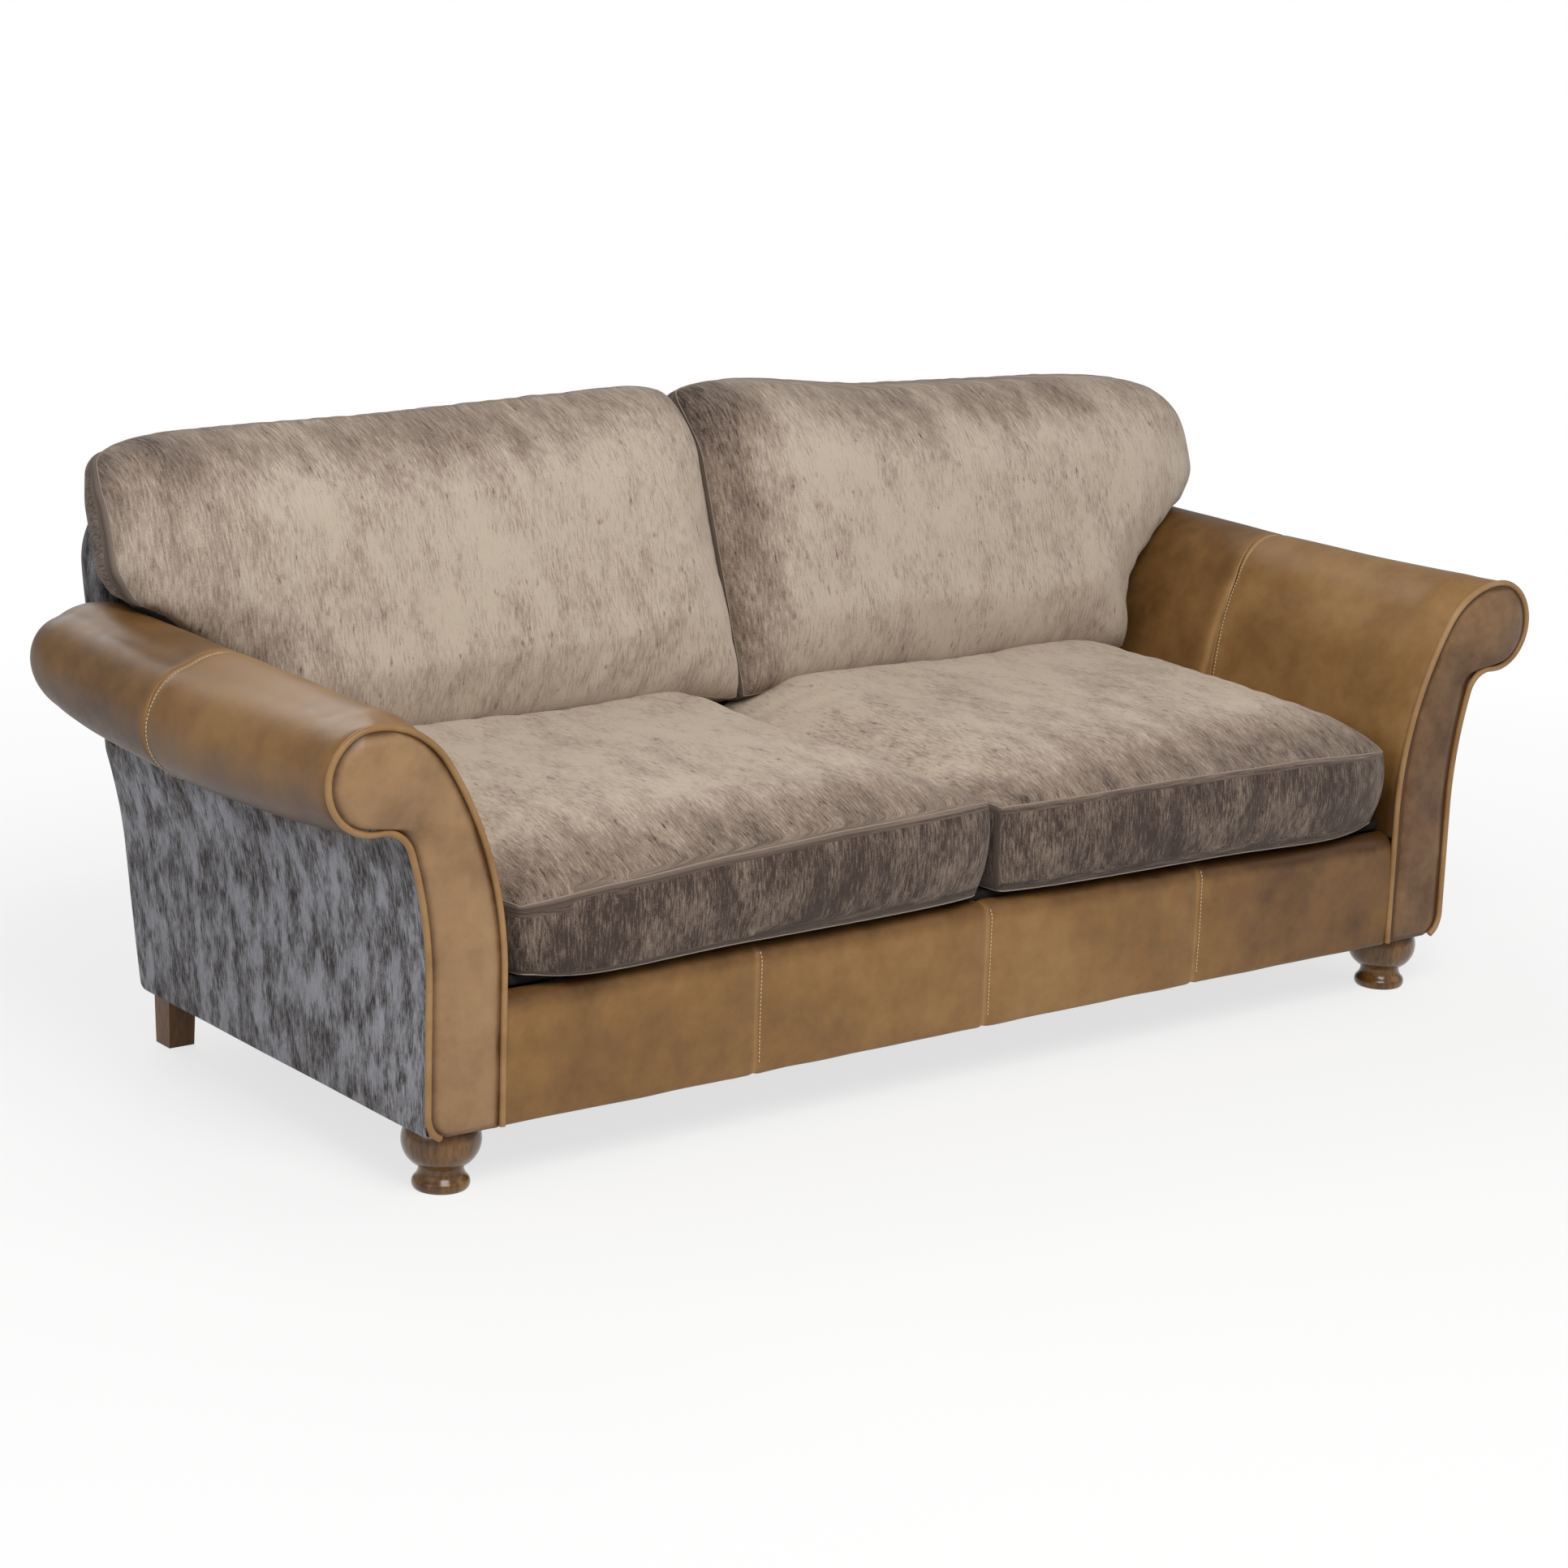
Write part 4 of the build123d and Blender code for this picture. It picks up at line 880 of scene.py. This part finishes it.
WEDGE_LEAN, WEDGE_GAP = radians(19.3), 0.001
low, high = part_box("inside_back_pad")
front_top = low[1] + (high[2] - low[2]) * tan(WEDGE_LEAN)
bottom = (low[1], rear_face(low[2], BACK_DEPTH + WEDGE_GAP))
top = (front_top, high[1] - WEDGE_GAP)
wedge = pad("back_wedge_pad", low, high, bottom, top, soften=0.012)
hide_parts("inside_back_pad")
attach(wedge, "frame")

DUST, DUST_SAG, DUST_INSET, DUST_SHORT = 0.0008, 0.004, 0.002, 0.06
DUST_ROWS, DUST_COLUMNS = 24, 48
low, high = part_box("dust_cover")
wide, deep = high[0] - low[0], high[1] - DUST_SHORT - low[1]
rows = []
for r in range(DUST_ROWS + 1):
    v, row = r / DUST_ROWS, []
    for c in range(DUST_COLUMNS + 1):
        u = c / DUST_COLUMNS
        x, y = low[0] + DUST_INSET + (wide - 2 * DUST_INSET) * u, low[1] + deep * v
        sag = DUST_SAG * sin(pi * v) * sin(pi * u)
        row.append((Vector((x, y, low[2] + 0.001 - sag)), 0.0))
    rows.append(row)
dust = sheet_from("dust_cloth", rows, lining, flip=True)
rounded(dust, DUST)
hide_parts("dust_cover")
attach(dust, "frame")

# The seat cushions: two loose boxed cushions of fibre-wrapped foam in chenille. The top panel
# is crowned and its pile runs forwards, and a band of boxing with sewn edges goes round it.

seat_cloth = chenille(
    "taupe_seat_chenille", (0.57, 0.475, 0.38), (0.30, 0.228, 0.178), (0.055, 0.037, 0.031),
)
BOXING_FULL = 0.007


def swell(distance, width):
    """Rise of a stuffed panel from 0 at its seam to 1 at a distance from it."""
    t = max(0.0, min(1.0, distance / width))
    return (1 - (1 - t) ** 2.2) ** 0.62


def boxed_cushion(name, plan, place, heights, foot_inset, counts, shade, material):
    """A closed cushion: a crowned panel, its boxing, and a flat panel where it rests.

    plan maps two shares to flat coordinates, place puts those and a height in space, and
    heights gives the height of the seam and of the panel there.
    """
    wide, long, bands = counts
    points, faces, uv, tones, index, sewn = [], [], [], [], {}, []
    centre = Vector(plan(0.5, 0.5))

    def put(key, flat, height, cloth, tone, pinned):
        if key not in index:
            index[key] = len(points)
            points.append(place(flat[0], flat[1], height))
            uv.append(tuple(cloth))
            tones.append(tone)
            if pinned:
                sewn.append(index[key])
        return index[key]

    def drawn_in(flat, share):
        return flat - (flat - centre).normalized() * foot_inset * (1 - share) ** 1.5

    def panel_point(panel, i, j):
        u, v = i / wide, j / long
        flat = Vector(plan(u, v))
        rim = i in (0, wide) or j in (0, long)
        if panel == "top":
            return put((panel, i, j), flat, heights(u, v)[1], flat, shade(u, v, True), rim)
        return put((panel, i, j), drawn_in(flat, 0.0), 0.0, flat, shade(u, v, False), True)

    steps = ((0, 0), (1, 0), (1, 1), (0, 1))
    for panel in ("top", "low"):
        for i in range(wide):
            for j in range(long):
                quad = [panel_point(panel, i + di, j + dj) for di, dj in steps]
                faces.append(quad if panel == "top" else quad[::-1])
    loop = [(i, 0) for i in range(wide)] + [(wide, j) for j in range(long)]
    loop += [(i, long) for i in range(wide, 0, -1)] + [(0, j) for j in range(long, 0, -1)]
    columns, run = [], 0.0
    for k, (i, j) in enumerate(loop):
        u, v = i / wide, j / long
        flat, tone = Vector(plan(u, v)), shade(u, v, False)
        column = [index["low", i, j]]
        for band in range(1, bands):
            t = band / bands
            bulge = (flat - centre).normalized() * BOXING_FULL * sin(pi * t)
            height = heights(u, v)[0] * t
            fuller = drawn_in(flat, t) + bulge
            column.append(put(("box", k, band), fuller, height, (run, height), tone, False))
        columns.append(column + [index["top", i, j]])
        after = loop[(k + 1) % len(loop)]
        run += (Vector(plan(after[0] / wide, after[1] / long)) - flat).length
    for near, far in zip(columns, columns[1:] + columns[:1]):
        for band in range(bands):
            faces.append([near[band], far[band], far[band + 1], near[band + 1]])
    if plan(1.0, 0.5)[0] < centre.x:
        faces = [face[::-1] for face in faces]
    piece = piece_from(name, points, faces, material, uv, tones)
    piece.vertex_groups.new(name="sewn").add(sewn, 1.0, "REPLACE")
    seams = [[index[panel, i, j] for i, j in loop] for panel in ("top", "low")]
    return piece, seams


def eased(points, value):
    """A smooth line through pairs of numbers."""
    for (a, x), (b, y) in zip(points, points[1:]):
        if value <= b:
            return x + (y - x) * (smooth(value, a, b) + (value - a) / (b - a)) / 2
    return points[-1][1]


SEAT_LOW, SEAT_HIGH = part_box("seat_cushion_cover_right")
SEAT_SEAM, SEAT_CROWN, SEAT_BULGE, SIDE_PULL = 0.128, 0.040, 0.012, 0.004
SEAT_INNER, SEAT_OUTER = 0.003, SEAT_HIGH[0] - 0.004
SEAT_FRONT, SEAT_REAR = SEAT_LOW[1] + SEAT_BULGE, SEAT_HIGH[1] - 0.003
INNER_CORNER, OUTER_CORNER = 0.022, 0.05
SIDE_SLOPE, FRONT_SLOPE, REAR_SLOPE = 0.085, 0.36, 0.035
SEAT_WAVE, SEAT_FOOT_INSET, SEAT_COUNTS = 0.004, 0.013, (74, 64, 12)
SEAT_HANG, END_HANG, HANG_TALL, HANG_RUN = 0.002, 0.014, 0.06, 0.012
# The top panel's tone, and painted shade over its front edge and slope and on the boxing.
SEAT_TONE, FRONT_PAINTED_SHADE, SLOPE_PAINTED_SHADE, SEAT_BOXING_PAINTED_SHADE = 0.04, 0.52, 0.1, 0.92
# How far the front seam sags from its mean height, from the inner to the outer end.
FRONT_SAG = {
    -1: [(0.0, 0.012), (0.33, 0.009), (0.58, 0.0), (0.80, -0.014), (1.0, -0.031)],
    1: [(0.0, 0.0), (0.41, 0.005), (0.72, 0.002), (1.0, -0.012)],
}


def seat_plan(side):
    """Plan of a seat cushion: rounded corners, a bowed front, and sides drawn in."""
    def plan(u, v):
        p, q = 2 * u - 1, 2 * v - 1
        round_off = 1 - (OUTER_CORNER if p > 0 else INNER_CORNER) * (p * q) ** 6
        x = (SEAT_INNER + SEAT_OUTER) / 2 + (SEAT_OUTER - SEAT_INNER) / 2 * p * round_off
        x -= SIDE_PULL * p * (1 - q * q)
        y = (SEAT_FRONT + SEAT_REAR) / 2 + (SEAT_REAR - SEAT_FRONT) / 2 * q * round_off
        y -= SEAT_BULGE * (1 - p * p) * max(0.0, -q) ** 2
        return side * x, y
    return plan


def seat_heights(side):
    """Heights of a seat cushion's seam and panel: a long slope forwards, steep elsewhere."""
    def heights(u, v):
        seam = SEAT_SEAM + eased(FRONT_SAG[side], u) * (1 - smooth(v, 0.0, 0.6))
        wide, long = SEAT_OUTER - SEAT_INNER, SEAT_HIGH[1] - SEAT_LOW[1]
        crown = swell(min(u, 1 - u) * wide, SIDE_SLOPE)
        crown *= swell(v * long, FRONT_SLOPE) * swell((1 - v) * long, REAR_SLOPE)
        wave = SEAT_WAVE * noise.noise(Vector((u * 5 + side, v * 4, 2.0)))
        return seam, seam + (SEAT_CROWN + wave) * crown + (SEAT_SEAM - seam) * crown
    return heights


def seat_shade(u, v, top):
    """Painted shade for how the pile meets the light: paler to the back, dark over the front
    edge and the boxing.
    """
    if top:
        front, slope = 1 - smooth(v, 0.0, 0.25), 1 - smooth(v, 0.2, 0.7)
        return SEAT_TONE + FRONT_PAINTED_SHADE * front + SLOPE_PAINTED_SHADE * slope
    return SEAT_BOXING_PAINTED_SHADE


def seat_place(across, along, height):
    """A point of a seat cushion; the front of its foot hangs a little over the border."""
    hang = SEAT_HANG + END_HANG * smooth(abs(across), 0.42, 0.80)
    hang *= 1 - smooth(along, BORDER_FRONT - HANG_RUN, BORDER_FRONT + HANG_RUN)
    hang *= max(0.0, 1 - height / HANG_TALL)
    return Vector((across, along, SEAT_LOW[2] + 0.002 + height - hang))


# Each cushion with its seams, name, slot and side, and where its inner edge has to stop.
CUSHIONS = []
for side, word in SIDES:
    name = f"seat_cushion_{word}"
    made = boxed_cushion(
        name, seat_plan(side), seat_place, seat_heights(side), SEAT_FOOT_INSET, SEAT_COUNTS,
        seat_shade, seat_cloth,
    )
    CUSHIONS.append((*made, name, "seat_chenille", side, 0.0))

# The back cushions: two loose fibre-filled cushions in the same chenille, boxed, with the pile
# running down. Each narrows between the arms and has an ear that lies over the arm's roll.

back_cloth = chenille(
    "taupe_back_chenille", (0.54, 0.455, 0.37), (0.29, 0.222, 0.175), (0.058, 0.040, 0.034),
)
BACK_SEAM, BACK_FULL, BACK_TALL, BACK_WIDE = 0.125, 0.168, 0.462, 0.9
BACK_SPLIT, BACK_INNER, BACK_THICK = 0.015, 0.003, 0.140
BACK_WAVE, BACK_FOOT_INSET, BACK_COUNTS = 0.005, 0.036, (86, 46, 9)
THIN_TOP, EAR_DROP, FOOT_DROP, CORNER_DROP = 0.055, 0.6, 0.008, 0.016
# How far the corners are rounded off, across and up, and what the lower ones have of it.
CORNER_ACROSS, CORNER_UP, LOWER_CORNER = 0.03, 0.09, 0.25
# How far from each seam the panel comes to its full height.
LOW_SIDE_EASE, TOP_SIDE_EASE, FOOT_EASE, TOP_EASE = 0.05, 0.09, 0.06, 0.17
# The panel's tone; painted shade on the top, the right one's inner edge, the left one's ear and
# the boxing.
PANEL_PALE, BACK_TOP_PAINTED_SHADE, INNER_PAINTED_SHADE, EAR_PAINTED_SHADE, BACK_BOXING_PAINTED_SHADE = 0.08, 0.36, 0.45, 0.24, 0.80
# How much further out an ear reaches, and its outer edge by the height up the slope.
REACH = {-1: 0.0, 1: 0.024}
EAR_LINE = [
    (0.0, 0.806), (0.06, 0.813), (0.11, 0.830), (0.15, 0.858), (0.185, 0.900), (0.215, 0.940),
    (0.245, 0.972), (0.29, 0.992), (0.37, 0.990), (0.42, 0.980), (0.462, 0.962),
]
# How far the top edge stands above its mean height, from the inner to the outer end.
TOP_EDGE = {
    -1: [(0.0, 0.028), (0.25, 0.014), (0.6, 0.004), (1.0, 0.002)],
    1: [(0.0, 0.026), (0.12, 0.022), (0.4, -0.002), (0.75, -0.008), (1.0, -0.018)],
}
joints = {joint["name"]: joint for joint in frame["record"]["behaviour"]["joints"]}
tip = Vector(joints["back_cushion_right_tip"]["pos_m"])
UP_BACK = Vector((0, sin(WEDGE_LEAN), cos(WEDGE_LEAN)))
FORWARD = Vector((0, -cos(WEDGE_LEAN), sin(WEDGE_LEAN)))
CUSHION_FOOT = Vector((0, tip.y, tip.z)) - FORWARD * BACK_THICK


def back_plan(side):
    """Plan of a back cushion, across from its inner edge and up its slope."""
    def plan(u, v):
        p, q = 2 * u - 1, 2 * v - 1
        outer_x = eased(EAR_LINE, BACK_TALL * v) + REACH[side] * smooth(v, 0.42, 0.66)
        inner_x = BACK_INNER + side * BACK_SPLIT
        round_off = (1.0 if q > 0 else LOWER_CORNER) * (p * q) ** 8
        x = inner_x + (outer_x - inner_x) * (0.5 + 0.5 * p * (1 - CORNER_ACROSS * round_off))
        up = BACK_TALL * (0.5 + 0.5 * q * (1 - CORNER_UP * round_off))
        up += eased(TOP_EDGE[side], u) * smooth(v, 0.4, 1.0)
        low_corner = 1 - smooth(min(u, 1 - u), 0.0, 0.13)
        up -= (FOOT_DROP + CORNER_DROP * low_corner) * (1 - smooth(v, 0.0, 0.3))
        return side * x, up
    return plan


def back_heights(side):
    """Heights of a back cushion's seam and panel, fullest low down."""
    def heights(u, v):
        seam = BACK_SEAM - THIN_TOP * smooth(v, 0.72, 1.0)
        ease = LOW_SIDE_EASE + (TOP_SIDE_EASE - LOW_SIDE_EASE) * smooth(v, 0.2, 0.6)
        crown = swell(min(u, 1 - u) * BACK_WIDE, ease)
        crown *= swell(v * BACK_TALL, FOOT_EASE) * swell((1 - v) * BACK_TALL, TOP_EASE)
        wave = BACK_WAVE * noise.noise(Vector((u * 5 + 3 * side, v * 3, 6.0)))
        return seam, seam + (BACK_FULL + wave - seam) * crown
    return heights


def back_shade(side):
    """Painted shade for how the pile meets the light: on the top, the boxing, the right one's
    inner edge and the left one's ear.
    """
    def shade(u, v, top):
        if not top:
            return BACK_BOXING_PAINTED_SHADE
        tone = PANEL_PALE + BACK_TOP_PAINTED_SHADE * smooth(v, 0.66, 0.97)
        if side > 0:
            return tone + INNER_PAINTED_SHADE * (1 - smooth(u, 0.03, 0.15))
        return tone + EAR_PAINTED_SHADE * smooth(u, 0.70, 1.0)
    return shade


def back_place(across, up, height):
    """A point of a back cushion; the underside of its ear lies level along the arm."""
    ear = smooth(abs(across), 0.74, 0.86) * smooth(up, 0.03, 0.12) * (1 - smooth(up, 0.25, 0.38))
    up -= height * tan(WEDGE_LEAN) * EAR_DROP * ear
    return CUSHION_FOOT + Vector((across, 0, 0)) + UP_BACK * up + FORWARD * (height + 0.002)


for side, word in SIDES:
    name = f"back_cushion_{word}"
    made = boxed_cushion(
        name, back_plan(side), back_place, back_heights(side), BACK_FOOT_INSET, BACK_COUNTS,
        back_shade(side), back_cloth,
    )
    CUSHIONS.append((*made, name, "back_chenille", side, side * BACK_SPLIT))

# The filling and sewing of the cushions: cloth under pressure, held at the seams and where a
# cushion rests, so that each panel swells and puckers. A fine thread runs along both seams.

PRESSURE, SPARE_CLOTH = 4.0, 0.012
SWELL_CAP, SWELL_FRAMES = 0.022, 20
for made, *_ in CUSHIONS:
    filling = made.modifiers.new("filling", "CLOTH")
    filling.settings.use_pressure = True
    filling.settings.uniform_pressure_force = PRESSURE
    filling.settings.vertex_group_mass = "sewn"
    filling.settings.shrink_min = -SPARE_CLOTH
    filling.settings.effector_weights.gravity = 0.0
    filling.point_cache.frame_end = SWELL_FRAMES
for step in range(1, SWELL_FRAMES + 1):
    bpy.context.scene.frame_set(step)
graph = bpy.context.evaluated_depsgraph_get()
for made, *_ in CUSHIONS:
    swollen = bpy.data.meshes.new_from_object(made.evaluated_get(graph), depsgraph=graph)
    made.modifiers.clear()
    for vertex, end in zip(made.data.vertices, swollen.vertices):
        way = end.co - vertex.co
        vertex.co += way * min(1.0, SWELL_CAP / max(way.length, 1e-9))
bpy.context.scene.frame_set(1)

seam_thread = fibrous(
    "cushion_thread", 900.0, (0.21, 0.16, 0.125), (0.36, 0.29, 0.23), Roughness=0.8,
)
SEAM_THREAD, SPLIT_GAP, ARM_CLEAR = 0.0011, 0.0012, 0.006
arm_inside = [Vector(p) for p in arm_outline(0.0, 0.2)]
fuller = [out * (ARM_CLEAR + shoulder(out)) for out in normals(arm_inside)]
arm_inside = [p + more for p, more in zip(arm_inside, fuller)]
arm_inside = arm_inside[: max(range(len(arm_inside)), key=lambda i: arm_inside[i].y) + 1]
for made, seams, name, slot, side, inner in CUSHIONS:
    # The filling stops short of the other cushion and of the arm.
    for vertex in made.data.vertices:
        x = max(side * vertex.co.x, inner + SPLIT_GAP)
        if vertex.co.z < arm_inside[-1].y:
            x = min(x, crossing(arm_inside, vertex.co.z))
        vertex.co.x = side * x
    rounded(made)
    graph = bpy.context.evaluated_depsgraph_get()
    made.data = bpy.data.meshes.new_from_object(made.evaluated_get(graph), depsgraph=graph)
    made.modifiers.clear()
    paths = []
    for seam in seams:
        line = [made.data.vertices[i].co.copy() for i in seam]
        paths.append(line + line[:1])
    sewing = {"Radius": SEAM_THREAD, "Cover": seam_thread}
    thread_line = grown(f"{name}_seams", paths, welt_tree, sewing)
    kind, word = name.rsplit("_", 1)
    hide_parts(f"{kind}_cover_{word}", f"{kind}_filling_{word}")
    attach(made, name)
    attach(thread_line, name)

# The stage: a plain pale floor that runs out to white, a soft white surround, and wide soft
# lamps in front, behind and to both sides.

FLOOR_HALF, FLOOR_GREY = 40.0, 0.86
# The floor's own shadow shows most near the sofa, and fades out between these distances.
SHADOW_NEAR, SHADOW_FAR, SHADOW_GLOW = 1.2, 3.0, 0.72
SKY = 0.42
WHITE = (1.0, 1.0, 1.0, 1.0)
floor_finish = bpy.data.materials.new("pale_floor")
floor_finish.use_nodes = True
tree = floor_finish.node_tree
tree.nodes.clear()
seen = add(tree, "ShaderNodeLightPath").outputs
rays = sums(tree, "MAXIMUM", seen["Is Camera Ray"], seen["Is Glossy Ray"])
rays = sums(tree, "MAXIMUM", rays, seen["Is Transmission Ray"])
grey = {"Color": (FLOOR_GREY, FLOOR_GREY, FLOOR_GREY, 1.0)}
matt = add(tree, "ShaderNodeBsdfDiffuse", grey).outputs["BSDF"]
glow = add(tree, "ShaderNodeEmission", {"Color": WHITE, "Strength": 1.0}).outputs["Emission"]
away = add(tree, "ShaderNodeVectorMath", {0: own_place(tree)}, operation="LENGTH")
fade = level(tree, away.outputs["Value"], SHADOW_NEAR, SHADOW_FAR, SHADOW_GLOW, 1.0)
share = sums(tree, "MULTIPLY", rays, fade)
both = add(tree, "ShaderNodeMixShader", {"Fac": share, 1: matt, 2: glow}).outputs["Shader"]
add(tree, "ShaderNodeOutputMaterial", {"Surface": both})
floor_mesh = bpy.data.meshes.new("floor")
corners = [(x * FLOOR_HALF, y * FLOOR_HALF, 0) for x, y in ((-1, -1), (1, -1), (1, 1), (-1, 1))]
floor_mesh.from_pydata(corners, [], [(0, 1, 2, 3)])
floor_mesh.materials.append(floor_finish)
floor = bpy.data.objects.new("floor", floor_mesh)
bpy.context.scene.collection.objects.link(floor)

world = bpy.data.worlds.new("studio")
bpy.context.scene.world = world
world.use_nodes = True
tree = world.node_tree
tree.nodes.clear()
seen = add(tree, "ShaderNodeLightPath").outputs
rays = sums(tree, "MAXIMUM", seen["Is Camera Ray"], seen["Is Transmission Ray"])
light = {"Color": WHITE, "Strength": level(tree, rays, 0.0, 1.0, SKY, 1.0)}
sky = add(tree, "ShaderNodeBackground", light).outputs["Background"]
add(tree, "ShaderNodeOutputWorld", {"Surface": sky})

# Each lamp's name, place, width, power and colour.
LAMPS = [
    ("key", (-1.3, -3.4, 3.9), 2.4, 150.0, (1.0, 0.98, 0.95)),
    ("left_fill", (-4.6, -1.0, 2.4), 2.6, 20.0, (0.93, 0.96, 1.0)),
    ("right_fill", (4.2, -2.2, 2.8), 2.6, 14.0, (1.0, 0.98, 0.96)),
    ("rear_fill", (0.5, 4.5, 3.2), 3.0, 80.0, (1.0, 1.0, 1.0)),
]
LAMP_AIM = Vector((0, 0, 0.45))
for name, spot, size, power, colour in LAMPS:
    lamp = bpy.data.lights.new(name, "AREA")
    lamp.size, lamp.energy, lamp.color = size, power, colour
    holder = bpy.data.objects.new(name, lamp)
    turned = (LAMP_AIM - Vector(spot)).to_track_quat("-Z", "Y").to_matrix().to_4x4()
    holder.matrix_world = Matrix.Translation(spot) @ turned
    bpy.context.scene.collection.objects.link(holder)

# The camera: stands where the photograph was taken, in front of the left arm at about head
# height, with a long lens.

PICTURE, FOCAL = 1932.0, 4631.93
CAMERA_PLACE = Vector((-3.3602, -3.8509 + ARM_FRONT, 1.6927))
YAW, PITCH, ROLL = radians(-37.7562), radians(13.8502), radians(1.9287)
ahead = Vector((sin(-YAW) * cos(PITCH), cos(YAW) * cos(PITCH), -sin(PITCH)))
level_right = Vector((cos(YAW), sin(YAW), 0))
upright = level_right.cross(ahead)
right = level_right * cos(ROLL) + upright * sin(ROLL)
up = upright * cos(ROLL) - level_right * sin(ROLL)
lens = bpy.data.cameras.new("camera")
lens.sensor_width = 36.0
lens.lens = FOCAL * lens.sensor_width / PICTURE
lens.clip_end = 100.0
camera = bpy.data.objects.new("camera", lens)
axes = Matrix((right, up, -ahead)).transposed().to_4x4()
camera.matrix_world = Matrix.Translation(CAMERA_PLACE) @ axes
bpy.context.scene.collection.objects.link(camera)
bpy.context.scene.camera = camera
bpy.context.scene.view_settings.view_transform = "Standard"
